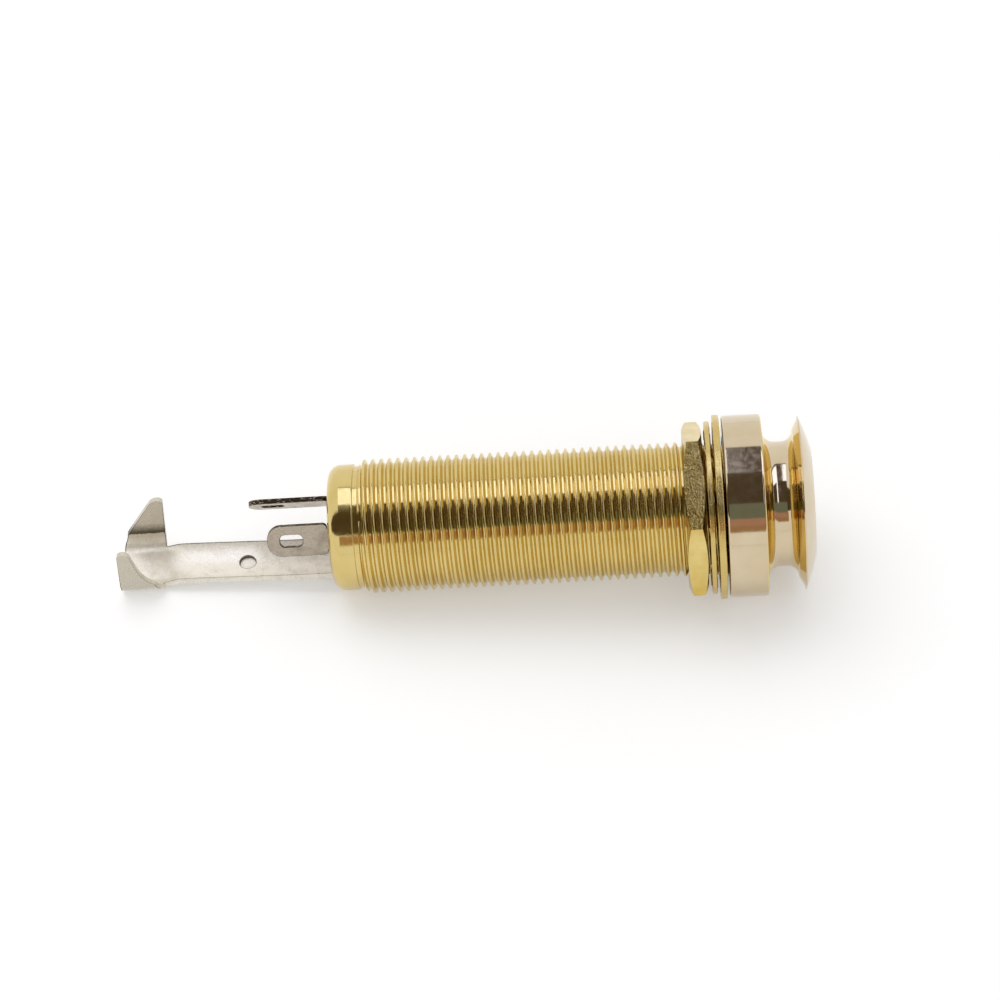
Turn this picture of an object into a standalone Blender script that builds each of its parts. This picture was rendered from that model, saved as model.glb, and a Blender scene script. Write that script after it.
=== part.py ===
"""Quarter inch stereo phone jack of the end-pin kind: a threaded barrel with a strap button.

Metres, +Z up. The jack's axis is world X: the plug goes in at +X, the solder lugs leave at -X,
and the ground strap runs along the bottom. Stations along the axis are measured from the face
of the button's collar that clamps the washers. The origin is on the axis, at the middle of the
whole length, so that face is at x = FRAME_SHIFT.
"""
import math

import bmesh
import bpy
from mathutils import Matrix

MM = 0.001
COLLECTION = "phone_jack"

# Facets of round work
ROUND_STEPS = 48
INNER_STEPS = 32
REAR_STEPS = 6
NECK_STEPS = 10
DOME_STEPS = 8
MOUTH_STEPS = 3
PIP_STEPS = 20
FILLET_STEPS = 5

# Clearances
SEAT_GAP = 0.2 * MM
THREAD_GAP = 0.25 * MM
SLOT_GAP = 0.25 * MM
CUT_MARGIN = 1.0 * MM
WELD = 0.001 * MM

# Barrel
BARREL_LENGTH = 35.2 * MM
THREAD_D = 12.0 * MM
THREAD_CHAMFER = 0.4 * MM
SHOULDER_LENGTH = 1.9 * MM
BARREL_WALL = 1.0 * MM
REAR_BAND_LENGTH = 2.8 * MM
REAR_BAND_STEP = 0.35 * MM
REAR_ROUNDING = 1.1 * MM
LIP_WALL = 0.7 * MM
LIP_DEPTH = 1.0 * MM
LIP_LAND = 0.1 * MM
PLUG_BORE_D = 6.45 * MM
SNOUT_WALL = 1.175 * MM
SNOUT_RECESS = 0.2 * MM
SNOUT_EDGE = 0.2 * MM
MOUTH_CHAMFER = 0.45 * MM

# Strap button
COLLAR_STEP = 2.12 * MM
COLLAR_LENGTH = 3.5 * MM
COLLAR_EDGE = 0.25 * MM
COUNTERBORE_GAP = 0.3 * MM
NECK_LENGTH = 2.75 * MM
NECK_WALL = 0.92 * MM
NECK_HOLLOW = 0.38 * MM
FLANGE_D = 15.5 * MM
FLANGE_BACK_LEAN = 0.35 * MM
FLANGE_EDGE = 0.12 * MM
FLANGE_RIM = 0.28 * MM
DOME_RADIUS = 19.0 * MM
BUTTON_MOUTH_ROUNDING = 0.35 * MM

# Washers and nut
FLAT_WASHER_OVERHANG = 0.1 * MM
FLAT_WASHER_THICKNESS = 0.6 * MM
WASHER_EDGE = 0.1 * MM
LOCK_WASHER_THICKNESS = 0.45 * MM
LOCK_WASHER_BAND = 0.85 * MM
TOOTH_COUNT = 12
TOOTH_WIDTH = 1.5 * MM
TOOTH_LENGTH = 0.6 * MM
TOOTH_ROOT = 0.3 * MM
TOOTH_TWIST = math.radians(6)
NUT_WALL = 1.0 * MM
NUT_THICKNESS = 1.75 * MM
NUT_CHAMFER = 0.4 * MM
NUT_CORNER_ELEVATION = math.radians(37)

# Sheet metal of the lugs and the ground strap
SHEET = 0.45 * MM
CONTACT_ANGLE = math.radians(60)
CONTACT_SIDES = {"tip": -1, "ring": 1}
LUG_WIDTH = 2.9 * MM
LUG_NECK_WIDTH = 2.0 * MM
LUG_SHOULDER_OFFSET = 0.2 * MM
LUG_END_RADIUS = 1.25 * MM
LUG_SHOULDER_RADIUS = 0.4 * MM
LUG_REACH = {"tip_lug": 7.4 * MM, "ring_lug": 5.6 * MM}
LUG_EYE_LENGTH = 2.05 * MM
LUG_EYE_WIDTH = 1.15 * MM
LUG_EYE_RADIUS = 0.45 * MM
LUG_EYE_INSET = 2.15 * MM
LUG_FRONT_INSET = 0.3 * MM
LUG_SPLAY = math.radians(1)

STRAP_WIDTH = 4.5 * MM
STRAP_RISE = 0.35 * MM
STRAP_LEVEL_LENGTH = 1.0 * MM
STRAP_FLATTENING = 1.2 * MM
STRAP_TONGUE_INSET = 0.6 * MM
CLAMP_DISTANCE = 15.5 * MM
CLAMP_LENGTH = 3.6 * MM
CLAMP_WIDTH = 6.4 * MM
EAR_HEIGHT = 6.3 * MM
EAR_TIP = 1.0 * MM
EAR_TIP_RADIUS = 0.4 * MM
NEAR_EAR_LEAN = 1.2 * MM
NEAR_EAR_SWEEP = 6
BEND_RADIUS = 0.8 * MM
DIMPLE_D = 1.5 * MM
DIMPLE_DEPTH = 0.22 * MM
DIMPLE_WALL = 0.1 * MM
DIMPLE_DISTANCE = 8.1 * MM

# Parts inside the chamber
DISC_THICKNESS = 0.8 * MM
HOLDER_LENGTH = 6.8 * MM
LINER_LENGTH = 20.1 * MM
LINER_WALL = 0.3 * MM
CONTACT_LAP_GAP = 0.35 * MM
SPRING_THICKNESS = 0.35 * MM
SPRING_WIDTH = 2.4 * MM
SPRING_INSET = 1.55 * MM
SPRING_ROOT = 1.2 * MM
SPRING_DROP = 0.48 * MM
SPRING_RAMP = 3.2 * MM
SPRING_TAIL = 1.9 * MM
SPRING_FLARE = 0.28 * MM
SPRING_REACH = {"tip_spring": 6.8 * MM, "ring_spring": 14.8 * MM}

# Radii
THREAD_RADIUS = THREAD_D / 2
CHAMBER_RADIUS = THREAD_RADIUS - BARREL_WALL
LIP_RADIUS = CHAMBER_RADIUS - LIP_DEPTH
REAR_BAND_RADIUS = THREAD_RADIUS - REAR_BAND_STEP
PLUG_RADIUS = PLUG_BORE_D / 2
SNOUT_RADIUS = PLUG_RADIUS + SNOUT_WALL
WASHER_BORE_RADIUS = THREAD_RADIUS + THREAD_GAP
COLLAR_RADIUS = THREAD_RADIUS + COLLAR_STEP
FLAT_WASHER_RADIUS = COLLAR_RADIUS + FLAT_WASHER_OVERHANG
LOCK_BAND_RADIUS = WASHER_BORE_RADIUS + TOOTH_LENGTH
LOCK_WASHER_RADIUS = LOCK_BAND_RADIUS + LOCK_WASHER_BAND
NUT_FLAT_RADIUS = THREAD_RADIUS + NUT_WALL
NUT_CORNER_RADIUS = NUT_FLAT_RADIUS / math.cos(math.pi / 6)
BUTTON_BORE_RADIUS = SNOUT_RADIUS + THREAD_GAP
BUTTON_MOUTH_RADIUS = BUTTON_BORE_RADIUS + BUTTON_MOUTH_ROUNDING
NECK_RADIUS = BUTTON_BORE_RADIUS + NECK_WALL
NECK_ROOT_RADIUS = NECK_RADIUS + NECK_HOLLOW
FLANGE_RADIUS = FLANGE_D / 2
INNER_RADIUS = CHAMBER_RADIUS - SEAT_GAP
SPRING_PLANE = INNER_RADIUS - SPRING_INSET
LUG_PLANE = SPRING_PLANE - SPRING_THICKNESS / 2 - CONTACT_LAP_GAP - SHEET / 2
STRAP_RADIUS = INNER_RADIUS - SHEET / 2

# Stations along the axis, from the collar's face
FLANGE_ROOT = COLLAR_LENGTH + NECK_LENGTH
FLANGE_BACK = FLANGE_ROOT + FLANGE_BACK_LEAN
DOME_EDGE_RADIUS = FLANGE_RADIUS - FLANGE_EDGE
DOME_CENTRE = FLANGE_BACK + FLANGE_RIM - math.sqrt(DOME_RADIUS**2 - DOME_EDGE_RADIUS**2)
BUTTON_FRONT = DOME_CENTRE + math.sqrt(DOME_RADIUS**2 - BUTTON_MOUTH_RADIUS**2)
SNOUT_FRONT = BUTTON_FRONT - SNOUT_RECESS

FLAT_WASHER_REAR = -SEAT_GAP - FLAT_WASHER_THICKNESS
TOOTH_REACH = (
    LOCK_WASHER_THICKNESS / 2 * math.cos(TOOTH_TWIST) + TOOTH_WIDTH / 2 * math.sin(TOOTH_TWIST)
)
LOCK_WASHER_MIDDLE = FLAT_WASHER_REAR - SEAT_GAP - TOOTH_REACH
NUT_FRONT = LOCK_WASHER_MIDDLE - TOOTH_REACH - SEAT_GAP

BARREL_REAR = -BARREL_LENGTH
THREAD_REAR = BARREL_REAR + REAR_BAND_LENGTH
CHAMBER_REAR = BARREL_REAR + LIP_WALL
LUG_SHOULDER = BARREL_REAR - LUG_SHOULDER_OFFSET
DISC_REAR = CHAMBER_REAR + SEAT_GAP
HOLDER_REAR = DISC_REAR + DISC_THICKNESS + SEAT_GAP
HOLDER_FRONT = HOLDER_REAR + HOLDER_LENGTH
LINER_REAR = HOLDER_FRONT + SEAT_GAP
LINER_FRONT = LINER_REAR + LINER_LENGTH
CHAMBER_FRONT = LINER_FRONT + SEAT_GAP

# Ground strap and the frame
CLAMP_FRONT = BARREL_REAR - CLAMP_DISTANCE
CLAMP_REAR = CLAMP_FRONT - CLAMP_LENGTH
BASE_HALF = CLAMP_WIDTH / 2 - SHEET / 2 - BEND_RADIUS
BEND_LENGTH = BEND_RADIUS * math.pi / 2
EAR_LENGTH = EAR_HEIGHT - SHEET / 2 - BEND_RADIUS
FRAME_SHIFT = -(CLAMP_REAR + BUTTON_FRONT) / 2


def clear_scene():
    for obj in list(bpy.data.objects):
        bpy.data.objects.remove(obj, do_unlink=True)


def make_collection(name, hidden=False):
    collection = bpy.data.collections.new(name)
    bpy.context.scene.collection.children.link(collection)
    collection.hide_render = hidden
    return collection


def make_frame():
    """The empty that carries every piece: its X axis is the jack's axis."""
    empty = bpy.data.objects.new("jack_frame", None)
    parts.objects.link(empty)
    empty.location = (FRAME_SHIFT, 0, 0)
    return empty


def make_material(name, colour, roughness, metallic):
    material = bpy.data.materials.new(name)
    material.use_nodes = True
    shader = material.node_tree.nodes["Principled BSDF"]
    shader.inputs["Base Color"].default_value = (*colour, 1)
    shader.inputs["Roughness"].default_value = roughness
    shader.inputs["Metallic"].default_value = metallic
    material.diffuse_color = (*colour, 1)
    return material


def add_part(name, mesh, material):
    obj = bpy.data.objects.new(name, mesh)
    parts.objects.link(obj)
    obj.parent = jack_frame
    mesh.materials.append(material)
    return obj


def add_cutter(name, mesh):
    obj = bpy.data.objects.new(name, mesh)
    cutters.objects.link(obj)
    obj.parent = jack_frame
    obj.hide_render = True
    obj.display_type = "WIRE"
    return obj


def boolean(obj, other, operation="DIFFERENCE"):
    modifier = obj.modifiers.new(other.name, "BOOLEAN")
    modifier.object = other
    modifier.operation = operation
    modifier.solver = "EXACT"


def arc(station, radius, size, start, end, steps):
    """Points of a round edge in a turned profile, as (station, radius); angles from +X."""
    angles = [math.radians(start + (end - start) * i / steps) for i in range(steps + 1)]
    return [(station + size * math.cos(a), radius + size * math.sin(a)) for a in angles]


def turn(obj, steps):
    """Revolves the object's profile about its own Z, which lies along the jack's axis."""
    obj.rotation_euler = (0, math.pi / 2, 0)
    screw = obj.modifiers.new("turn", "SCREW")
    screw.steps = steps
    screw.render_steps = steps
    screw.use_smooth_shade = True
    screw.use_merge_vertices = True
    screw.merge_threshold = 0.00001


def profile_mesh(name, profile):
    """A closed profile of (station, radius) points that runs down its outer side, front to rear."""
    points = [(radius, 0, station) for station, radius in profile]
    count = len(points)
    mesh = bpy.data.meshes.new(name)
    mesh.from_pydata(points, [(i, (i + 1) % count) for i in range(count)], [])
    return mesh


def add_turned(name, seat, profile, material, steps=ROUND_STEPS):
    obj = add_part(name, profile_mesh(name, profile), material)
    obj.location = (seat, 0, 0)
    turn(obj, steps)
    return obj


def cylinder_mesh(name, radius, depth, steps, phase=0.0):
    """A solid cylinder or prism along its own Z, from 0 to the depth; phase turns its first corner."""
    mesh = bpy.data.meshes.new(name)
    work = bmesh.new()
    bmesh.ops.create_cone(
        work, cap_ends=True, segments=steps, radius1=radius, radius2=radius, depth=depth
    )
    bmesh.ops.rotate(work, verts=work.verts, matrix=Matrix.Rotation(phase, 3, "Z"))
    bmesh.ops.translate(work, verts=work.verts, vec=(0, 0, depth / 2))
    work.to_mesh(mesh)
    work.free()
    return mesh


def add_disc(name, rear, length, material):
    """A solid round piece that fills the chamber from the rear station on."""
    obj = add_part(name, cylinder_mesh(name, INNER_RADIUS, length, INNER_STEPS), material)
    obj.location = (rear, 0, 0)
    obj.rotation_euler = (0, math.pi / 2, 0)
    return obj


def contact_matrix(side, plane, station=0.0):
    """The frame of a contact: X along the jack, Y across the strip, Z outward from the axis."""
    turn_about_axis = Matrix.Rotation(side * CONTACT_ANGLE, 4, "X")
    return Matrix.Translation((station, 0, 0)) @ turn_about_axis @ Matrix.Translation((0, 0, plane))


def contact_cutter(name, frame, rear, front, width, thickness):
    """A box cutter in a contact's frame, from its rear to its front along X."""
    mesh = bpy.data.meshes.new(name)
    work = bmesh.new()
    bmesh.ops.create_cube(work, size=1)
    bmesh.ops.scale(work, verts=work.verts, vec=(front - rear, width, thickness))
    bmesh.ops.translate(work, verts=work.verts, vec=((front + rear) / 2, 0, 0))
    work.to_mesh(mesh)
    work.free()
    obj = add_cutter(name, mesh)
    obj.matrix_basis = frame
    return obj


def neck_fold():
    """The neck leans toward the axis from the blade's shoulder on, so the blade is splayed."""
    return Matrix.Rotation(LUG_SPLAY, 4, "Y")


def neck_cutter(name, side, rear, front):
    """The slot that a lug's neck passes through, between two stations of the holder's stack."""
    frame = contact_matrix(side, LUG_PLANE, LUG_SHOULDER) @ neck_fold()
    return contact_cutter(
        name, frame, rear - LUG_SHOULDER, front - LUG_SHOULDER,
        LUG_NECK_WIDTH + 2 * SLOT_GAP, SHEET + 2 * SLOT_GAP,
    )


def filleted(corners):
    """A closed outline with round corners, from (x, y, radius) corners."""
    outline = []
    for i, (x, y, radius) in enumerate(corners):
        before = corners[i - 1]
        after = corners[(i + 1) % len(corners)]
        to_before = math.atan2(before[1] - y, before[0] - x)
        to_after = math.atan2(after[1] - y, after[0] - x)
        turn_angle = (to_after - to_before + math.pi) % (2 * math.pi) - math.pi
        middle = to_before + turn_angle / 2
        reach = radius / math.sin(abs(turn_angle) / 2)
        centre = (x + reach * math.cos(middle), y + reach * math.sin(middle))
        sweep = (math.pi - abs(turn_angle)) * math.copysign(1, turn_angle)
        count = FILLET_STEPS if radius else 0
        for k in range(count + 1):
            share = k / count - 0.5 if count else 0
            angle = middle + math.pi - sweep * share
            outline.append((centre[0] + radius * math.cos(angle), centre[1] + radius * math.sin(angle)))
    return outline


def plate_mesh(name, outlines, thickness):
    """A flat plate from closed outlines, where an outline inside another is a hole."""
    curve = bpy.data.curves.new(name, "CURVE")
    curve.dimensions = "2D"
    curve.fill_mode = "BOTH"
    curve.extrude = thickness / 2
    for outline in outlines:
        spline = curve.splines.new("POLY")
        spline.points.add(len(outline) - 1)
        for point, (x, y) in zip(spline.points, outline):
            point.co = (x, y, 0, 1)
        spline.use_cyclic_u = True
    holder = bpy.data.objects.new(name, curve)
    cutters.objects.link(holder)
    graph = bpy.context.evaluated_depsgraph_get()
    mesh = bpy.data.meshes.new_from_object(holder.evaluated_get(graph))
    bpy.data.objects.remove(holder)
    bpy.data.curves.remove(curve)
    work = bmesh.new()
    work.from_mesh(mesh)
    bmesh.ops.remove_doubles(work, verts=work.verts, dist=WELD)
    bmesh.ops.recalc_face_normals(work, faces=work.faces)
    work.to_mesh(mesh)
    work.free()
    mesh.name = name
    return mesh


def smooth_step(value):
    share = min(max(value, 0.0), 1.0)
    return share * share * (3 - 2 * share)


def strap_point(x, across):
    """The middle surface of the ground strap: a trough in the barrel, a flat base at the clamp."""
    level_rear = BARREL_REAR - STRAP_LEVEL_LENGTH
    rise = STRAP_RISE * smooth_step((level_rear - x) / (level_rear - CLAMP_FRONT))
    flatness = smooth_step((CLAMP_FRONT + STRAP_FLATTENING - x) / STRAP_FLATTENING)
    side = math.copysign(1, across)
    angle = across / STRAP_RADIUS
    trough = (STRAP_RADIUS * math.sin(angle), STRAP_RADIUS * (1 - math.cos(angle)))
    past_base = max(abs(across) - BASE_HALF, 0.0)
    bend = min(past_base, BEND_LENGTH) / BEND_RADIUS
    upright = max(past_base - BEND_LENGTH, 0.0)
    flat = (
        side * (min(abs(across), BASE_HALF) + BEND_RADIUS * math.sin(bend)),
        BEND_RADIUS * (1 - math.cos(bend)) + upright,
    )
    y = trough[0] + (flat[0] - trough[0]) * flatness
    z = trough[1] + (flat[1] - trough[1]) * flatness
    return (x, y, z + rise - STRAP_RADIUS)


def ear_span(across):
    """Where the clamp's sheet starts and ends along X, at a distance across the flat blank.

    The near ear keeps its rear edge, and its front edge sweeps out in a curve at the foot; the
    far ear keeps its front edge, and its rear edge is a straight slope."""
    height = abs(across) - BASE_HALF - BEND_LENGTH
    if height <= 0:
        return CLAMP_REAR, CLAMP_FRONT
    below_tip = min(max(EAR_LENGTH - height, 0.0), EAR_TIP_RADIUS)
    share_left = max(1 - height / EAR_LENGTH, 0.0)
    slope = (CLAMP_LENGTH - EAR_TIP) * share_left
    inset = EAR_TIP_RADIUS - math.sqrt(EAR_TIP_RADIUS**2 - (EAR_TIP_RADIUS - below_tip) ** 2)
    if across < 0:
        foot = CLAMP_LENGTH - EAR_TIP - NEAR_EAR_LEAN
        curve = NEAR_EAR_LEAN * share_left + foot * share_left**NEAR_EAR_SWEEP
        return CLAMP_REAR + inset, CLAMP_REAR + EAR_TIP + curve - inset
    return CLAMP_FRONT - EAR_TIP - slope + inset, CLAMP_FRONT - inset


def spaced(start, end, count):
    return [start + (end - start) * i / count for i in range(count + 1)]


def sheet_mesh(name, rows):
    """An open sheet through rows of points; rows of None leave the sheet open there."""
    work = bmesh.new()
    known = {}

    def vertex(point):
        key = tuple(round(value * 1e7) for value in point)
        if key not in known:
            known[key] = work.verts.new(point)
        return known[key]

    for row, following in zip(rows, rows[1:]):
        for i in range(len(row) - 1):
            corners = (row[i], row[i + 1], following[i + 1], following[i])
            if None not in corners:
                work.faces.new([vertex(corner) for corner in corners])
    mesh = bpy.data.meshes.new(name)
    work.to_mesh(mesh)
    work.free()
    return mesh


def thicken(obj, thickness):
    solid = obj.modifiers.new("sheet", "SOLIDIFY")
    solid.thickness = thickness
    solid.offset = 0
    solid.use_even_offset = True


def trough_rows(rear, front, half_width, stations):
    across = spaced(-half_width, half_width, 8)
    return [[strap_point(x, v) for v in across] for x in spaced(rear, front, stations)]


def trough_cutter(name, rear, front, inward, outward):
    """Clears the strap's path: the sheet made wider and thicker by the named clearances."""
    obj = add_cutter(name, sheet_mesh(name, trough_rows(rear, front, STRAP_WIDTH / 2 + SLOT_GAP, 2)))
    solid = obj.modifiers.new("sheet", "SOLIDIFY")
    solid.thickness = inward + outward
    solid.offset = (inward - outward) / (inward + outward)
    return obj


def make_barrel():
    outer = [
        (SNOUT_FRONT, PLUG_RADIUS + MOUTH_CHAMFER),
        (SNOUT_FRONT, SNOUT_RADIUS - SNOUT_EDGE),
        (SNOUT_FRONT - SNOUT_EDGE, SNOUT_RADIUS),
        (SHOULDER_LENGTH, SNOUT_RADIUS),
        (SHOULDER_LENGTH, THREAD_RADIUS - THREAD_CHAMFER),
        (SHOULDER_LENGTH - THREAD_CHAMFER, THREAD_RADIUS),
        (THREAD_REAR, THREAD_RADIUS),
        (THREAD_REAR - REAR_BAND_STEP, REAR_BAND_RADIUS),
    ]
    size = min(REAR_ROUNDING, REAR_BAND_RADIUS - LIP_RADIUS - LIP_LAND)
    rounding = arc(BARREL_REAR + size, REAR_BAND_RADIUS - size, size, 90, 180, REAR_STEPS)
    inner = [
        (BARREL_REAR, LIP_RADIUS),
        (CHAMBER_REAR, LIP_RADIUS),
        (CHAMBER_REAR, CHAMBER_RADIUS),
        (CHAMBER_FRONT, CHAMBER_RADIUS),
        (CHAMBER_FRONT, PLUG_RADIUS),
        (SNOUT_FRONT - MOUTH_CHAMFER, PLUG_RADIUS),
    ]
    barrel = add_turned("barrel", 0, outer + rounding + inner, yellow_gold)
    inward = STRAP_RADIUS - LIP_RADIUS + CUT_MARGIN
    outward = SHEET / 2 + SEAT_GAP / 2
    notch = trough_cutter(
        "lip_notch", BARREL_REAR - CUT_MARGIN, CHAMBER_REAR + SEAT_GAP, inward, outward
    )
    boolean(barrel, notch)


def dome_station(radius):
    return DOME_CENTRE + math.sqrt(DOME_RADIUS**2 - radius**2)


def neck_arc():
    """The hollow of the neck, from the flange's root to the collar, through its waist."""
    half = NECK_LENGTH / 2
    size = (half**2 + NECK_HOLLOW**2) / (2 * NECK_HOLLOW)
    spread = math.degrees(math.asin(half / size))
    middle = COLLAR_LENGTH + half
    return arc(middle, NECK_RADIUS + size, size, -90 + spread, -90 - spread, NECK_STEPS)


def make_strap_button():
    counterbore = THREAD_RADIUS + COUNTERBORE_GAP
    counterbore_depth = SHOULDER_LENGTH + SEAT_GAP
    rounding_station = BUTTON_FRONT - BUTTON_MOUTH_ROUNDING
    mouth = arc(rounding_station, BUTTON_MOUTH_RADIUS, BUTTON_MOUTH_ROUNDING, -90, 0, MOUTH_STEPS)
    dome_radii = spaced(BUTTON_MOUTH_RADIUS, DOME_EDGE_RADIUS, DOME_STEPS)
    dome = [(dome_station(radius), radius) for radius in dome_radii]
    edge = [(FLANGE_BACK + FLANGE_RIM / 2, FLANGE_RADIUS), (FLANGE_BACK, DOME_EDGE_RADIUS)]
    collar_corner = (COLLAR_LENGTH - COLLAR_EDGE, COLLAR_RADIUS - COLLAR_EDGE)
    outside = [
        (COLLAR_LENGTH, COLLAR_RADIUS - COLLAR_EDGE),
        *arc(*collar_corner, COLLAR_EDGE, 45, 90, 1),
        (COLLAR_EDGE, COLLAR_RADIUS),
        (0, COLLAR_RADIUS - COLLAR_EDGE),
    ]
    inside = [
        (0, counterbore),
        (counterbore_depth, counterbore),
        (counterbore_depth, BUTTON_BORE_RADIUS),
    ]
    profile = mouth + dome[1:] + edge + neck_arc() + outside + inside
    add_turned("strap_button", 0, profile, pale_gold)


def make_flat_washer():
    outer = FLAT_WASHER_RADIUS
    profile = [
        (FLAT_WASHER_THICKNESS, WASHER_BORE_RADIUS),
        (FLAT_WASHER_THICKNESS, outer - WASHER_EDGE),
        (FLAT_WASHER_THICKNESS - WASHER_EDGE, outer),
        (WASHER_EDGE, outer),
        (0, outer - WASHER_EDGE),
        (0, WASHER_BORE_RADIUS),
    ]
    add_turned("flat_washer", FLAT_WASHER_REAR, profile, yellow_gold)


def make_lock_washer():
    half = LOCK_WASHER_THICKNESS / 2
    outer = LOCK_WASHER_RADIUS
    inner = LOCK_BAND_RADIUS
    profile = [
        (half, inner),
        (half, outer - WASHER_EDGE),
        (half - WASHER_EDGE, outer),
        (WASHER_EDGE - half, outer),
        (-half, outer - WASHER_EDGE),
        (-half, inner),
    ]
    washer = add_turned("lock_washer", LOCK_WASHER_MIDDLE, profile, yellow_gold)
    teeth = bmesh.new()
    tip = WASHER_BORE_RADIUS
    length = inner + TOOTH_ROOT - tip
    for i in range(TOOTH_COUNT):
        around = Matrix.Rotation(2 * math.pi * i / TOOTH_COUNT, 4, "X")
        out = Matrix.Translation((0, 0, tip + length / 2))
        twist = Matrix.Rotation(TOOTH_TWIST, 4, "Z")
        size = Matrix.Diagonal((LOCK_WASHER_THICKNESS, TOOTH_WIDTH, length, 1))
        bmesh.ops.create_cube(teeth, size=1, matrix=around @ out @ twist @ size)
    mesh = bpy.data.meshes.new("lock_teeth")
    teeth.to_mesh(mesh)
    teeth.free()
    added = add_cutter("lock_teeth", mesh)
    added.location = (LOCK_WASHER_MIDDLE, 0, 0)
    boolean(washer, added, "UNION")


def make_hex_nut():
    """A hexagonal prism whose corners are turned down on both faces, then bored."""
    turn_angle = math.pi - NUT_CORNER_ELEVATION
    prism = cylinder_mesh("hex_nut", NUT_CORNER_RADIUS, NUT_THICKNESS, 6, turn_angle)
    nut = add_part("hex_nut", prism, yellow_gold)
    nut.location = (NUT_FRONT - NUT_THICKNESS, 0, 0)
    nut.rotation_euler = (0, math.pi / 2, 0)
    past = SEAT_GAP / 2
    rim = NUT_CORNER_RADIUS + WASHER_EDGE
    face = NUT_FLAT_RADIUS - past * (rim - NUT_FLAT_RADIUS) / NUT_CHAMFER
    blank = [
        (NUT_THICKNESS + past, WASHER_BORE_RADIUS),
        (NUT_THICKNESS + past, face),
        (NUT_THICKNESS - NUT_CHAMFER, rim),
        (NUT_CHAMFER, rim),
        (-past, face),
        (-past, WASHER_BORE_RADIUS),
    ]
    turned_blank = add_cutter("nut_blank", profile_mesh("nut_blank", blank))
    turned_blank.location = nut.location
    turn(turned_blank, ROUND_STEPS)
    boolean(nut, turned_blank, "INTERSECT")


def make_lug(name, side):
    """A flat strip with its origin at the shoulder, where the blade's full width starts."""
    rear = LUG_SHOULDER_OFFSET - LUG_REACH[name]
    front = HOLDER_FRONT - LUG_FRONT_INSET - LUG_SHOULDER
    blade = LUG_WIDTH / 2
    neck = LUG_NECK_WIDTH / 2
    outline = filleted([
        (rear, -blade, LUG_END_RADIUS),
        (0, -blade, LUG_SHOULDER_RADIUS),
        (0, -neck, 0),
        (front, -neck, 0),
        (front, neck, 0),
        (0, neck, 0),
        (0, blade, LUG_SHOULDER_RADIUS),
        (rear, blade, LUG_END_RADIUS),
    ])
    eye_x = (rear + LUG_EYE_INSET - LUG_EYE_LENGTH / 2, rear + LUG_EYE_INSET + LUG_EYE_LENGTH / 2)
    eye_y = LUG_EYE_WIDTH / 2
    eye = filleted([
        (eye_x[0], -eye_y, LUG_EYE_RADIUS),
        (eye_x[1], -eye_y, LUG_EYE_RADIUS),
        (eye_x[1], eye_y, LUG_EYE_RADIUS),
        (eye_x[0], eye_y, LUG_EYE_RADIUS),
    ])
    plate = plate_mesh(name, [outline, eye], SHEET)
    fold_neck(plate)
    lug = add_part(name, plate, tinned)
    lug.matrix_basis = contact_matrix(side, LUG_PLANE, LUG_SHOULDER)


def fold_neck(plate):
    """Bends the plate along the line at X 0, where the blade's shoulder is."""
    work = bmesh.new()
    work.from_mesh(plate)
    everything = [*work.verts, *work.edges, *work.faces]
    bmesh.ops.bisect_plane(work, geom=everything, plane_co=(0, 0, 0), plane_no=(1, 0, 0))
    neck = [vertex for vertex in work.verts if vertex.co.x > WELD]
    bmesh.ops.rotate(work, verts=neck, cent=(0, 0, 0), matrix=neck_fold())
    work.to_mesh(plate)
    work.free()


def make_spring(name, side):
    """A leaf that dips to its contact crest and flares at its free end.

    Its origin is where it leaves the holder, which is the line it bends about."""
    crest = SPRING_REACH[name]
    ramp = [
        (crest - SPRING_RAMP * (1 - t), -SPRING_DROP * (1 - math.cos(math.pi * t)) / 2)
        for t in spaced(0, 1, 6)
    ]
    tail = [(crest + SPRING_TAIL * t, -SPRING_DROP + SPRING_FLARE * t * t) for t in spaced(0, 1, 4)]
    path = [(-SPRING_ROOT, 0), (0, 0), *ramp, *tail[1:]]
    half = SPRING_WIDTH / 2
    rows = [[(x, -half, z), (x, half, z)] for x, z in path]
    spring = add_part(name, sheet_mesh(name, rows), spring_metal)
    spring.matrix_basis = contact_matrix(side, SPRING_PLANE, HOLDER_FRONT)
    thicken(spring, SPRING_THICKNESS)


def strap_across():
    """Distances across the blank: the strap's own columns, then the bend and the ear."""
    strap = spaced(0, STRAP_WIDTH / 2, 4)
    bend = [v for v in spaced(BASE_HALF, BASE_HALF + BEND_LENGTH, 5) if v > STRAP_WIDTH / 2]
    fold = BASE_HALF + BEND_LENGTH
    shank = spaced(fold, fold + EAR_LENGTH - EAR_TIP_RADIUS, 5)[1:]
    tip = [fold + EAR_LENGTH - EAR_TIP_RADIUS * share for share in (0.5, 0.15, 0)]
    positive = strap + bend + shank + tip
    return [-v for v in positive[:0:-1]] + positive


def make_ground_strap():
    across = strap_across()
    tongue = HOLDER_FRONT - STRAP_TONGUE_INSET
    rows = []
    for share in spaced(0, 1, 4):
        row = []
        for v in across:
            rear, front = ear_span(v)
            row.append(strap_point(rear + (front - rear) * share, v))
        rows.append(row)
    for x in spaced(CLAMP_FRONT, BARREL_REAR, 9)[1:] + spaced(BARREL_REAR, tongue, 2)[1:]:
        rows.append([strap_point(x, v) if abs(v) <= STRAP_WIDTH / 2 else None for v in across])
    strap = add_part("ground_strap", sheet_mesh("ground_strap", rows), tinned)
    thicken(strap, SHEET)
    half_pierce(strap)


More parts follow.
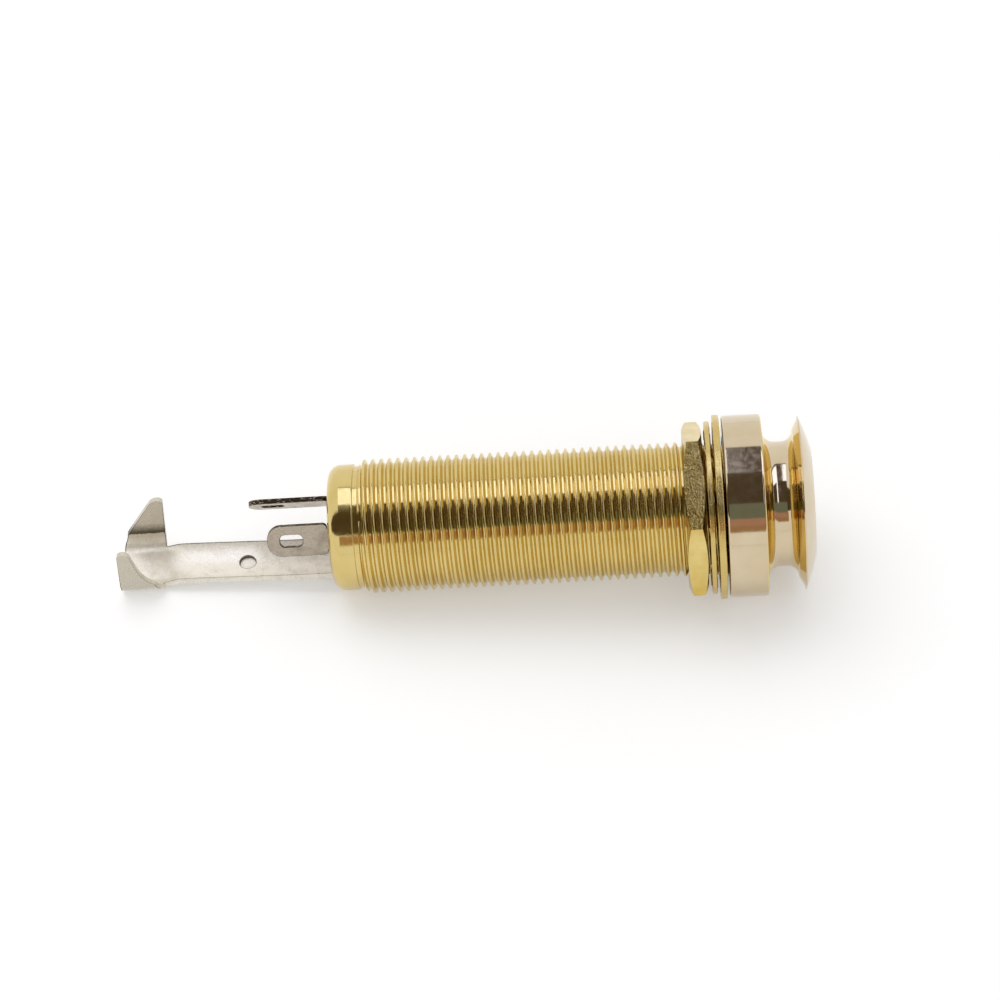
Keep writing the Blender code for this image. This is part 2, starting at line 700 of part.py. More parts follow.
def half_pierce(strap):
    """A round pip pushed part of the way through the strap, hollow above and proud below."""
    x = BARREL_REAR - DIMPLE_DISTANCE
    floor = strap_point(x, 0)[2]
    hollow = add_cutter("pip_hollow", cylinder_mesh("pip_hollow", DIMPLE_D / 2, CUT_MARGIN, PIP_STEPS))
    hollow.location = (x, 0, floor + SHEET / 2 - DIMPLE_DEPTH)
    boss_radius = DIMPLE_D / 2 - DIMPLE_WALL
    boss_depth = SHEET / 2 + DIMPLE_DEPTH
    boss = add_cutter("pip_boss", cylinder_mesh("pip_boss", boss_radius, boss_depth, PIP_STEPS))
    boss.location = (x, 0, floor - SHEET / 2 - DIMPLE_DEPTH)
    boolean(strap, boss, "UNION")
    boolean(strap, hollow)


def make_rear_insulator():
    disc = add_disc("rear_insulator", DISC_REAR, DISC_THICKNESS, amber_board)
    rear = DISC_REAR - CUT_MARGIN
    front = DISC_REAR + DISC_THICKNESS + CUT_MARGIN
    for name, side in CONTACT_SIDES.items():
        boolean(disc, neck_cutter(f"disc_slot_{name}", side, rear, front))
    inward = SHEET / 2 + SLOT_GAP
    boolean(disc, trough_cutter("disc_notch", rear, front, inward, CUT_MARGIN))


def make_contact_holder():
    """A moulded block with a through slot for each lug and a front pocket for each spring."""
    holder = add_disc("contact_holder", HOLDER_REAR, HOLDER_LENGTH, black_moulding)
    rear = HOLDER_REAR - CUT_MARGIN
    front = HOLDER_FRONT + CUT_MARGIN
    for name, side in CONTACT_SIDES.items():
        pocket = contact_cutter(
            f"holder_pocket_{name}", contact_matrix(side, SPRING_PLANE, HOLDER_FRONT),
            -SPRING_ROOT - SLOT_GAP, CUT_MARGIN,
            SPRING_WIDTH + 2 * SLOT_GAP, SPRING_THICKNESS + 2 * SLOT_GAP,
        )
        boolean(holder, neck_cutter(f"holder_slot_{name}", side, rear, front))
        boolean(holder, pocket)
    inward = SHEET / 2 + SLOT_GAP
    boolean(holder, trough_cutter("holder_relief", rear, front, inward, CUT_MARGIN))


def make_liner_tube():
    inner = INNER_RADIUS - LINER_WALL
    profile = [(LINER_LENGTH, inner), (LINER_LENGTH, INNER_RADIUS), (0, INNER_RADIUS), (0, inner)]
    add_turned("liner_tube", LINER_REAR, profile, amber_board, INNER_STEPS)


clear_scene()
parts = make_collection(COLLECTION)
cutters = make_collection(COLLECTION + "_cutters", hidden=True)
jack_frame = make_frame()
yellow_gold = make_material("yellow_gold", (0.80, 0.56, 0.18), 0.15, 1.0)
pale_gold = make_material("pale_gold", (0.80, 0.68, 0.50), 0.12, 1.0)
tinned = make_material("tinned_brass", (0.66, 0.63, 0.57), 0.35, 1.0)
spring_metal = make_material("spring_bronze", (0.70, 0.66, 0.58), 0.3, 1.0)
black_moulding = make_material("black_moulding", (0.03, 0.03, 0.03), 0.5, 0.0)
amber_board = make_material("insulating_board", (0.35, 0.22, 0.10), 0.6, 0.0)

make_barrel()
make_strap_button()
make_flat_washer()
make_lock_washer()
make_hex_nut()
make_ground_strap()
make_rear_insulator()
make_contact_holder()
make_liner_tube()
for contact, contact_side in CONTACT_SIDES.items():
    make_lug(contact + "_lug", contact_side)
    make_spring(contact + "_spring", contact_side)
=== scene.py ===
"""Looks of the end-pin phone jack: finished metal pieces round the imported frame.

Metres. The jack's axis is X and the plug goes in at +X. The jack lies on the floor as it does in
the photograph: on its flat washer, on the rear of its thread and on the cable clamp.
"""
import math

import bmesh
import bpy
from mathutils import Matrix, Vector


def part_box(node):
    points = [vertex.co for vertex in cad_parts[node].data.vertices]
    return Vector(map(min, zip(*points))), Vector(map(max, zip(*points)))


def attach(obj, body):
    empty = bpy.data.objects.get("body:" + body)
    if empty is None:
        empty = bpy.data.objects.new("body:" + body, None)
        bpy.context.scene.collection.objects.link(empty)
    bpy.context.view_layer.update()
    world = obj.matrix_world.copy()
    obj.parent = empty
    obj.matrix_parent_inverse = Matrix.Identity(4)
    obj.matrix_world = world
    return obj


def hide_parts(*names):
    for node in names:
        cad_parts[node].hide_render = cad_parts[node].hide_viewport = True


MM = 0.001

# Camera, fitted to the photograph
CAMERA_ELEVATION = math.radians(50.17)
CAMERA_AZIMUTH = math.radians(-0.76)
CAMERA_DISTANCE = 320.8 * MM
CAMERA_LENS = 128.49
CAMERA_SENSOR = 36
TARGET_ALONG = 3.158 * MM
TARGET_ACROSS = 2.396 * MM

# Stations measured from the collar's rear face, as in the part's source
SEAT_GAP = 0.2 * MM
THREAD_GAP = 0.25 * MM
BARREL_LENGTH = 35.2 * MM
SHOULDER_LENGTH = 1.9 * MM
REAR_BAND_LENGTH = 2.8 * MM
THREAD_RADIUS = 6.0 * MM
THREAD_PITCH = 0.75 * MM
THREAD_DEPTH = 0.44 * MM
REAR_BAND_RADIUS = 5.65 * MM
REAR_GROOVE_RADIUS = 5.45 * MM
REAR_GROOVE_WIDTH = 0.45 * MM
REAR_GROOVE_SLOPE = 0.05 * MM
REAR_ROUNDING = 1.1 * MM
LIP_WALL = 0.7 * MM
LIP_RADIUS = 4.0 * MM
BARREL_EDGE = 0.12 * MM
THREAD_RUN_OUT = 0.4 * MM
CHAMBER_RADIUS = 5.0 * MM
PLUG_RADIUS = 3.225 * MM
SNOUT_RADIUS = 4.4 * MM
SNOUT_EDGE = 0.15 * MM
SNOUT_MOUTH_ROUNDING = 0.4 * MM
CHAMBER_FRONT = -6.0 * MM
NOSE_PITCH = 0.79375 * MM
NOSE_DEPTH = 0.3 * MM
NOSE_INSET = 0.3 * MM
NOSE_RUN_OUT = 0.3 * MM

COLLAR_RADIUS = 8.12 * MM
COLLAR_LENGTH = 3.5 * MM
COLLAR_EDGE = 0.22 * MM
COUNTERBORE_RADIUS = 6.3 * MM
BUTTON_BORE_RADIUS = 4.65 * MM
BUTTON_MOUTH_ROUNDING = 0.35 * MM
NECK_LENGTH = 2.75 * MM
NECK_RADIUS = 5.57 * MM
NECK_HOLLOW = 0.1 * MM
COLLAR_FILLET = 1.1 * MM
FLANGE_FILLET = 0.9 * MM
FLANGE_RADIUS = 7.75 * MM
FLANGE_BACK_LEAN = 0.35 * MM
FLANGE_RIM = 0.28 * MM
FLANGE_EDGE = 0.12 * MM
DOME_RADIUS = 19.0 * MM

FLAT_WASHER_RADIUS = 8.22 * MM
FLAT_WASHER_THICKNESS = 0.6 * MM
FLAT_WASHER_EDGE = 0.1 * MM
WASHER_BORE_RADIUS = THREAD_RADIUS + THREAD_GAP
LOCK_WASHER_RADIUS = 7.7 * MM
LOCK_BAND_RADIUS = 6.85 * MM
LOCK_WASHER_THICKNESS = 0.45 * MM
LOCK_WASHER_EDGE = 0.08 * MM
LOCK_WASHER_MIDDLE = -1.302 * MM
TOOTH_COUNT = 12
TOOTH_WIDTH = 1.5 * MM
TOOTH_ROOT = 0.3 * MM
TOOTH_TWIST = math.radians(6)
NUT_FRONT = -1.804 * MM
NUT_THICKNESS = 1.75 * MM
NUT_FLAT_RADIUS = 7.0 * MM
NUT_CHAMFER = 0.4 * MM
NUT_BORE_FLARE = 0.3 * MM
NUT_BORE_CHAMFER = 0.2 * MM
NUT_EDGE = 0.14 * MM
NUT_CORNER_ELEVATION = math.radians(37)

SHEET = 0.45 * MM
CONTACT_ANGLE = math.radians(60)
LUG_PLANE = 2.5 * MM
LUG_SPLAY = math.radians(1)
LUG_SHOULDER_OFFSET = 0.2 * MM
LUG_WIDTH = 2.9 * MM
LUG_NECK_WIDTH = 2.0 * MM
LUG_END_RADIUS = 1.25 * MM
LUG_SHOULDER_RADIUS = 0.4 * MM
LUG_NECK_LENGTH = 8.6 * MM
LUG_REACH = {"tip_lug": 7.4 * MM, "ring_lug": 5.6 * MM}
LUG_SIDE = {"tip_lug": -1, "ring_lug": 1}
LUG_EYE = (2.05 * MM, 1.15 * MM)
LUG_EYE_RADIUS = 0.45 * MM
LUG_EYE_INSET = 2.15 * MM
LUG_EDGE = 0.06 * MM

STRAP_RADIUS = 4.575 * MM
STRAP_WIDTH = 4.5 * MM
STRAP_RISE = 0.35 * MM
STRAP_LEVEL_LENGTH = 1.0 * MM
STRAP_FLATTENING = 1.5 * MM
CLAMP_DISTANCE = 15.55 * MM
CLAMP_LENGTH = 3.8 * MM
CLAMP_WIDTH = 6.4 * MM
EAR_HEIGHT = 6.3 * MM
EAR_TIP = 1.0 * MM
EAR_TIP_RADIUS = 0.48 * MM
NEAR_EAR_LEAN = 1.2 * MM
NEAR_EAR_SWEEP = 6
NEAR_SETBACK = 0.6 * MM
FAR_SETBACK = 0.35 * MM
NEAR_EAR_RAKE = 0.28 * MM
FAR_EAR_RAKE = 0.35 * MM
NEAR_EAR_SHARE = 0.95
BEND_RADIUS = 1.5 * MM
EDGE_LINE = 0.07 * MM
STRAP_EDGE = 0.04 * MM
DIMPLE_RADIUS = 0.75 * MM
DIMPLE_DEPTH = 0.22 * MM
DIMPLE_WALL = 0.1 * MM
DIMPLE_DISTANCE = 8.1 * MM
TONGUE_FRONT = 8.1 * MM
NOTCH_SIDE = 0.25 * MM
NOTCH_OUTWARD = 0.25 * MM
NOTCH_INWARD = 0.55 * MM
CUT_MARGIN = 0.1 * MM

# Facets, and the shading that goes with them
ROUND = 160
BUTTON_ROUND = 192
THREAD_ROUND = 128
CARD_STEPS = 24
LONG_PART = 0.2 * MM
SUPPORT_DISTANCE = 0.02 * MM
SHARP_ANGLE = 35
THREAD_SHARP_ANGLE = 40

# Light levels: what the polished metal mirrors, the soft light on surfaces, the table's own glow
DARK_TONE = (0.085, 0.062, 0.036)
WINDOW_TONE = (1.8, 1.9, 2.6)
WARM_TONE = (0.42, 0.25, 0.14)
PINK_TONE = (0.5, 0.29, 0.22)
COOL_TONE = (0.19, 0.21, 0.17)
SOFT_LIGHT = 0.69
FLOOR_GLOW = 0.3

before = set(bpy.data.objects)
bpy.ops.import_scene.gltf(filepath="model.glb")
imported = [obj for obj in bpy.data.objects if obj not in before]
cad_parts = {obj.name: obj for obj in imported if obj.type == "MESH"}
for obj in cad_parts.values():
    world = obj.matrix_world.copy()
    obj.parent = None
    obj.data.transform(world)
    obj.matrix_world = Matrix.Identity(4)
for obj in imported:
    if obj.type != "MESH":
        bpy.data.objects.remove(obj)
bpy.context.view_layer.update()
low, high = (Vector(corner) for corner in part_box("barrel"))
BARREL_REAR = low.x
ORIGIN = BARREL_REAR + BARREL_LENGTH
SNOUT_FRONT = high.x
THREAD_REAR = BARREL_REAR + REAR_BAND_LENGTH
CLAMP_FRONT = BARREL_REAR - CLAMP_DISTANCE
CLAMP_REAR = CLAMP_FRONT - CLAMP_LENGTH
BASE_HALF = CLAMP_WIDTH / 2 - SHEET / 2 - BEND_RADIUS
BEND_LENGTH = BEND_RADIUS * math.pi / 2
EAR_LENGTH = EAR_HEIGHT - SHEET / 2 - BEND_RADIUS

# The floor touches the flat washer's edge and the rear end of the thread
washer_low = Vector((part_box("flat_washer")[0][0], 0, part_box("flat_washer")[0][2]))
thread_low = Vector((THREAD_REAR, 0, -THREAD_RADIUS))
FLOOR_TILT = math.atan2(thread_low.z - washer_low.z, washer_low.x - thread_low.x)
FLOOR_UP = Vector((math.sin(FLOOR_TILT), 0, math.cos(FLOOR_TILT)))
FLOOR_ALONG = Vector((math.cos(FLOOR_TILT), 0, -math.sin(FLOOR_TILT)))
ACROSS = Vector((0, 1, 0))


# Meshes

def new_object(name, mesh):
    obj = bpy.data.objects.new(name, mesh)
    bpy.context.scene.collection.objects.link(obj)
    return obj


def finish_mesh(name, work, sharp=SHARP_ANGLE):
    """Turns a bmesh into a smooth mesh whose edges stay sharp above an angle in degrees."""
    bmesh.ops.remove_doubles(work, verts=work.verts, dist=1e-7)
    bmesh.ops.dissolve_degenerate(work, edges=work.edges, dist=1e-8)
    bmesh.ops.recalc_face_normals(work, faces=work.faces)
    mesh = bpy.data.meshes.new(name)
    work.to_mesh(mesh)
    work.free()
    mesh.shade_smooth()
    mesh.set_sharp_from_angle(angle=math.radians(sharp))
    return mesh


def apply_modifiers(obj):
    graph = bpy.context.evaluated_depsgraph_get()
    mesh = bpy.data.meshes.new_from_object(obj.evaluated_get(graph))
    obj.modifiers.clear()
    old = obj.data
    obj.data = mesh
    bpy.data.meshes.remove(old)
    mesh.name = obj.name
    return mesh


def spaced(start, end, count):
    return [start + (end - start) * i / count for i in range(count + 1)]


def arc(x, radius, size, start, end, steps):
    """Points of a round corner in a turned profile, as (x, radius); angles in degrees from +X."""
    angles = [math.radians(a) for a in spaced(start, end, steps)]
    return [(x + size * math.cos(a), radius + size * math.sin(a)) for a in angles]


def ring_grid(rings, count, threads=()):
    """A closed surface through rings of (x, radius) values, one value for each of count angles.

    threads lists the (first, last) rings of each thread, whose rings run on into the next turn."""
    def onward(ring):
        for first, last in threads:
            if first <= ring <= last:
                return min(ring + len(THREAD_FORM), last)
        return ring

    work = bmesh.new()
    rows = []
    for ring in rings:
        row = []
        for i in range(count):
            angle = 2 * math.pi * i / count
            x, radius = ring(angle)
            row.append(work.verts.new((x, radius * math.cos(angle), radius * math.sin(angle))))
        rows.append(row)
    for r, row in enumerate(rows):
        after = (r + 1) % len(rows)
        following = rows[after]
        for i in range(count - 1):
            work.faces.new((row[i], row[i + 1], following[i + 1], following[i]))
        seam = (row[-1], rows[onward(r)][0], rows[onward(after)][0], following[-1])
        work.faces.new(tuple(dict.fromkeys(seam)))
    return work


def plain(points):
    """Rings that have the same station and radius all the way round."""
    return [lambda angle, point=point: point for point in points]


def supported(points):
    """The same closed profile with a point close to either end of each long straight part.

    The narrow bands that this makes keep flat faces flat in reflections."""
    result = []
    for start, end in zip(points, [*points[1:], points[0]]):
        result.append(start)
        length = math.dist(start, end)
        if length > LONG_PART:
            share = SUPPORT_DISTANCE / length
            for k in (share, 1 - share):
                result.append(tuple(a + (b - a) * k for a, b in zip(start, end)))
    return result


def turned(name, profile, count=ROUND):
    return finish_mesh(name, ring_grid(plain(supported(profile)), count))


# Thread form over one pitch: share of the pitch and share of the depth, with a worn round crest
THREAD_FORM = (
    (0.00, 0.00), (0.10, 0.00), (0.14, 0.05), (0.32, 0.82), (0.37, 0.94), (0.43, 0.99),
    (0.50, 1.00), (0.57, 0.99), (0.63, 0.94), (0.68, 0.82), (0.86, 0.05), (0.90, 0.00),
)


def thread_rings(rear, front, crest, depth, pitch, run_out):
    """Rings of a right-handed thread between two stations, faded out at its ends."""
    def height(share):
        share %= 1.0
        points = THREAD_FORM + ((1.0, 0.0),)
        for (a, low_share), (b, high_share) in zip(points, points[1:]):
            if a <= share <= b:
                return low_share + (high_share - low_share) * (share - a) / (b - a)
        return 0.0

    def ring(turns, share):
        def place(angle):
            x = rear + (turns - 1 + share + angle / (2 * math.pi)) * pitch
            x = min(max(x, rear), front)
            phase = (x - rear) / pitch - angle / (2 * math.pi)
            envelope = min((x - rear), (front - x)) / run_out
            limit = crest - depth + depth * min(envelope, 1.0)
            return x, min(crest - depth + depth * height(phase), limit)
        return place

    count = math.ceil((front - rear) / pitch) + 2
    return [ring(turns, share) for turns in range(count) for share, _ in THREAD_FORM]


def make_barrel():
    """The threaded barrel, turned from its rear lip over the outside to the bore and back."""
    shoulder = ORIGIN + SHOULDER_LENGTH
    nose_rear = shoulder + NOSE_INSET
    nose_front = SNOUT_FRONT - NOSE_INSET
    nose_root = SNOUT_RADIUS - NOSE_DEPTH
    root = THREAD_RADIUS - THREAD_DEPTH
    band_start = THREAD_REAR - REAR_GROOVE_WIDTH
    groove = [
        (THREAD_REAR, root),
        (THREAD_REAR - REAR_GROOVE_SLOPE, REAR_GROOVE_RADIUS),
        (band_start, REAR_GROOVE_RADIUS),
    ]
    band = arc(band_start - BARREL_EDGE, REAR_BAND_RADIUS - BARREL_EDGE, BARREL_EDGE, 0, 90, 3)
    rounding = arc(
        BARREL_REAR + REAR_ROUNDING, REAR_BAND_RADIUS - REAR_ROUNDING, REAR_ROUNDING, 90, 180, 12
    )
    lip = arc(BARREL_REAR + BARREL_EDGE, LIP_RADIUS + BARREL_EDGE, BARREL_EDGE, 180, 270, 4)
    inside = [
        (BARREL_REAR + LIP_WALL, LIP_RADIUS),
        (BARREL_REAR + LIP_WALL, CHAMBER_RADIUS),
        (ORIGIN + CHAMBER_FRONT, CHAMBER_RADIUS),
        (ORIGIN + CHAMBER_FRONT, PLUG_RADIUS),
    ]
    rounding_size = SNOUT_MOUTH_ROUNDING
    mouth = arc(SNOUT_FRONT - rounding_size, PLUG_RADIUS + rounding_size, rounding_size, 270, 360, 6)
    edge_centre = SNOUT_RADIUS - SNOUT_EDGE - NOSE_DEPTH / 2
    edge = arc(SNOUT_FRONT - SNOUT_EDGE, edge_centre, SNOUT_EDGE, 0, 90, 4)
    nose = thread_rings(nose_rear, nose_front, SNOUT_RADIUS, NOSE_DEPTH, NOSE_PITCH, NOSE_RUN_OUT)
    front = [(nose_rear, nose_root), (shoulder, nose_root), (shoulder, root)]
    main = thread_rings(
        THREAD_REAR, shoulder, THREAD_RADIUS, THREAD_DEPTH, THREAD_PITCH, THREAD_RUN_OUT
    )
    rear_part = supported([*reversed(lip), *reversed(rounding), *reversed(band)])
    # Only the outside is supported: the points on the side that would close it come off again
    while rear_part[-1] != band[0]:
        rear_part.pop()
    parts = [
        plain([*rear_part, *reversed(groove)]), main, plain(reversed(front)), nose,
        plain([*reversed(edge), *reversed(mouth), *reversed(inside)]),
    ]
    starts = [sum(len(part) for part in parts[:k]) for k in range(len(parts) + 1)]
    threads = [(starts[1], starts[2] - 1), (starts[3], starts[4] - 1)]
    work = ring_grid([ring for part in parts for ring in part], THREAD_ROUND, threads)
    barrel = new_object("jack_barrel", finish_mesh("jack_barrel", work, THREAD_SHARP_ANGLE))
    cut(barrel, make_notch())
    return barrel


def cut(obj, cutter, operation="DIFFERENCE"):
    modifier = obj.modifiers.new("cut", "BOOLEAN")
    modifier.object = cutter
    modifier.operation = operation
    modifier.solver = "EXACT"
    apply_modifiers(obj)
    mesh = cutter.data
    bpy.data.objects.remove(cutter)
    bpy.data.meshes.remove(mesh)
    obj.data.shade_smooth()
    obj.data.set_sharp_from_angle(angle=math.radians(SHARP_ANGLE))


def round_edges(obj, width, segments, angle, edge_slot=-1):
    """Rounds edges sharper than an angle in degrees, and keeps the faces between them flat."""
    bevel = obj.modifiers.new("edges", "BEVEL")
    bevel.width = width
    bevel.segments = segments
    bevel.limit_method = "ANGLE"
    bevel.angle_limit = math.radians(angle)
    bevel.miter_outer = "MITER_ARC"
    bevel.material = edge_slot
    apply_modifiers(obj)
    obj.data.shade_smooth()
    obj.data.set_sharp_from_angle(angle=math.radians(SHARP_ANGLE))
    obj.modifiers.new("flat", "WEIGHTED_NORMAL").keep_sharp = True
    apply_modifiers(obj)


def neck_radius(station):
    """Radius of the button's neck at a distance from the collar, with a fillet at either end."""
    def fillet(size, distance):
        inside = max(size - distance, 0.0)
        return size - math.sqrt(size**2 - inside**2)

    middle = 2 * station / NECK_LENGTH - 1
    ends = fillet(COLLAR_FILLET, station) + fillet(FLANGE_FILLET, NECK_LENGTH - station)
    return NECK_RADIUS + NECK_HOLLOW * middle**2 + ends


def make_button():
    flange_root = ORIGIN + COLLAR_LENGTH + NECK_LENGTH
    flange_back = flange_root + FLANGE_BACK_LEAN
    edge_radius = FLANGE_RADIUS - FLANGE_EDGE
    dome_centre = flange_back + FLANGE_RIM - math.sqrt(DOME_RADIUS**2 - edge_radius**2)
    mouth_radius = BUTTON_BORE_RADIUS + BUTTON_MOUTH_ROUNDING
    front = dome_centre + math.sqrt(DOME_RADIUS**2 - mouth_radius**2)
    mouth = arc(front - BUTTON_MOUTH_ROUNDING, mouth_radius, BUTTON_MOUTH_ROUNDING, -90, 0, 8)
    dome = [
        (dome_centre + math.sqrt(DOME_RADIUS**2 - radius**2), radius)
        for radius in spaced(mouth_radius, edge_radius, 24)
    ]
    round_rim = arc(flange_back + FLANGE_RIM / 2, edge_radius, FLANGE_RIM / 2, 70, -90, 8)
    reach = FLANGE_EDGE / (FLANGE_RIM / 2)
    rim = [(x, edge_radius + (radius - edge_radius) * reach) for x, radius in round_rim]
    neck = [(ORIGIN + COLLAR_LENGTH + s, neck_radius(s)) for s in spaced(NECK_LENGTH, 0, 56)]
    collar_front = ORIGIN + COLLAR_LENGTH - COLLAR_EDGE
    collar = [
        *arc(collar_front, COLLAR_RADIUS - COLLAR_EDGE, COLLAR_EDGE, 0, 90, 6),
        *arc(ORIGIN + COLLAR_EDGE, COLLAR_RADIUS - COLLAR_EDGE, COLLAR_EDGE, 90, 180, 6),
    ]
    depth = SHOULDER_LENGTH + SEAT_GAP
    inside = [
        (ORIGIN, COUNTERBORE_RADIUS),
        (ORIGIN + depth, COUNTERBORE_RADIUS),
        (ORIGIN + depth, BUTTON_BORE_RADIUS),
    ]
    profile = mouth + dome[1:] + rim + neck + collar + inside
    return new_object("button_shell", turned("button_shell", profile, BUTTON_ROUND))


def rounded_ring(name, rear, front, bore, outer, edge):
    profile = [
        *arc(front - edge, bore + edge, edge, 270, 360, 4),
        *arc(front - edge, outer - edge, edge, 0, 90, 4),
        *arc(rear + edge, outer - edge, edge, 90, 180, 4),
        *arc(rear + edge, bore + edge, edge, 180, 270, 4),
    ]
    return new_object(name, turned(name, profile))


def make_flat_washer():
    front = ORIGIN - SEAT_GAP
    rear = front - FLAT_WASHER_THICKNESS
    return rounded_ring(
        "flat_washer_ring", rear, front, WASHER_BORE_RADIUS, FLAT_WASHER_RADIUS, FLAT_WASHER_EDGE
    )


def make_lock_washer():
    middle = ORIGIN + LOCK_WASHER_MIDDLE
    rear, front = middle - LOCK_WASHER_THICKNESS / 2, middle + LOCK_WASHER_THICKNESS / 2
    washer = rounded_ring(
        "lock_washer_ring", rear, front, LOCK_BAND_RADIUS, LOCK_WASHER_RADIUS, LOCK_WASHER_EDGE
    )
    teeth = bmesh.new()
    length = LOCK_BAND_RADIUS + TOOTH_ROOT - WASHER_BORE_RADIUS
    for i in range(TOOTH_COUNT):
        around = Matrix.Rotation(2 * math.pi * i / TOOTH_COUNT, 4, "X")
        out = Matrix.Translation((0, 0, WASHER_BORE_RADIUS + length / 2))
        twist = Matrix.Rotation(TOOTH_TWIST, 4, "Z")
        size = Matrix.Diagonal((LOCK_WASHER_THICKNESS, TOOTH_WIDTH, length, 1))
        place = Matrix.Translation((middle, 0, 0)) @ around @ out @ twist @ size
        bmesh.ops.create_cube(teeth, size=1, matrix=place)
    cutter = new_object("lock_teeth", finish_mesh("lock_teeth", teeth))
    cut(washer, cutter, "UNION")
    return washer


def make_hex_nut():
    """A hexagonal prism with both faces turned down at the corners, bored and chamfered."""
    rear = ORIGIN + NUT_FRONT - NUT_THICKNESS
    corner = NUT_FLAT_RADIUS / math.cos(math.pi / 6)
    work = bmesh.new()
    bmesh.ops.create_cone(
        work, cap_ends=True, segments=6, radius1=corner, radius2=corner, depth=NUT_THICKNESS
    )
    spin = Matrix.Rotation(math.pi - NUT_CORNER_ELEVATION, 4, "Z")
    lie = Matrix.Rotation(math.pi / 2, 4, "Y")
    place = Matrix.Translation((rear + NUT_THICKNESS / 2, 0, 0)) @ lie @ spin
    bmesh.ops.transform(work, matrix=place, verts=work.verts)
    nut = new_object("hex_nut_body", finish_mesh("hex_nut_body", work))
    rim = corner + CUT_MARGIN
    face = NUT_FLAT_RADIUS - CUT_MARGIN * (rim - NUT_FLAT_RADIUS) / NUT_CHAMFER
    bore = WASHER_BORE_RADIUS
    flare = bore + NUT_BORE_FLARE
    front = rear + NUT_THICKNESS
    blank = [
        (front + CUT_MARGIN, flare),
        (front + CUT_MARGIN, face),
        (front - NUT_CHAMFER, rim),
        (rear + NUT_CHAMFER, rim),
        (rear - CUT_MARGIN, face),
        (rear - CUT_MARGIN, flare),
        (rear + NUT_BORE_CHAMFER, bore),
        (front - NUT_BORE_CHAMFER, bore),
    ]
    cut(nut, new_object("nut_blank", turned("nut_blank", blank)), "INTERSECT")
    round_edges(nut, NUT_EDGE, 4, 25)
    return nut


# Sheet metal

def smooth_step(value):
    share = min(max(value, 0.0), 1.0)
    return share * share * (3 - 2 * share)


def strap_point(x, across):
    """The middle surface of the ground strap: a trough in the barrel, a flat base at the clamp."""
    level_rear = BARREL_REAR - STRAP_LEVEL_LENGTH
    rise = STRAP_RISE * smooth_step((level_rear - x) / (level_rear - CLAMP_FRONT))
    flatness = smooth_step((CLAMP_FRONT + STRAP_FLATTENING - x) / STRAP_FLATTENING)
    side = math.copysign(1, across)
    angle = across / STRAP_RADIUS
    trough = (STRAP_RADIUS * math.sin(angle), STRAP_RADIUS * (1 - math.cos(angle)))
    past_base = max(abs(across) - BASE_HALF, 0.0)
    bend = min(past_base, BEND_LENGTH) / BEND_RADIUS
    upright = max(past_base - BEND_LENGTH, 0.0) * (NEAR_EAR_SHARE if across < 0 else 1.0)
    flat = (
        side * (min(abs(across), BASE_HALF) + BEND_RADIUS * math.sin(bend)),
        BEND_RADIUS * (1 - math.cos(bend)) + upright,
    )
    y = trough[0] + (flat[0] - trough[0]) * flatness
    z = trough[1] + (flat[1] - trough[1]) * flatness
    rake = (NEAR_EAR_RAKE if across < 0 else FAR_EAR_RAKE) * flatness * upright / EAR_LENGTH
    return Vector((x + rake, y, z + rise - STRAP_RADIUS))


def ear_span(across):
    """Where the clamp's sheet starts and ends along X, at a distance across the flat blank."""
    height = abs(across) - BASE_HALF - BEND_LENGTH
    if height <= 0:
        past_strap = abs(across) - STRAP_WIDTH / 2
        share = smooth_step(past_strap / (past_strap - height))
        if across < 0:
            return CLAMP_REAR, CLAMP_FRONT - NEAR_SETBACK * share
        return CLAMP_REAR + FAR_SETBACK * share, CLAMP_FRONT
    below_tip = min(max(EAR_LENGTH - height, 0.0), EAR_TIP_RADIUS)
    share_left = max(1 - height / EAR_LENGTH, 0.0)
    slope = (CLAMP_LENGTH - EAR_TIP - FAR_SETBACK) * share_left
    inset = EAR_TIP_RADIUS - math.sqrt(EAR_TIP_RADIUS**2 - (EAR_TIP_RADIUS - below_tip) ** 2)
    if across < 0:
        foot = CLAMP_LENGTH - EAR_TIP - NEAR_EAR_LEAN - NEAR_SETBACK
        curve = NEAR_EAR_LEAN * share_left + foot * share_left**NEAR_EAR_SWEEP
        return CLAMP_REAR + inset, CLAMP_REAR + EAR_TIP + curve - inset
    return CLAMP_FRONT - EAR_TIP - slope + inset, CLAMP_FRONT - inset


def add_rows(work, rows):
    """Faces between rows of points; None leaves a gap, and equal points become one vertex.

    The outermost faces get the second material slot."""
    known = {}

    def vertex(point):
        key = tuple(round(value * 1e8) for value in point)
        if key not in known:
            known[key] = work.verts.new(point)
        return known[key]

    def filled(r, i):
        if not (0 <= r < len(rows) - 1 and 0 <= i < len(rows[r]) - 1):
            return False
        return None not in (rows[r][i], rows[r][i + 1], rows[r + 1][i], rows[r + 1][i + 1])

    for r in range(len(rows) - 1):
        for i in range(len(rows[r]) - 1):
            if filled(r, i):
                corners = (rows[r][i], rows[r][i + 1], rows[r + 1][i + 1], rows[r + 1][i])
                face = list(dict.fromkeys(vertex(corner) for corner in corners))
                if len(face) > 2:
                    beside = ((r - 1, i), (r + 1, i), (r, i - 1), (r, i + 1))
                    work.faces.new(face).material_index = 0 if all(filled(*cell) for cell in beside) else 1


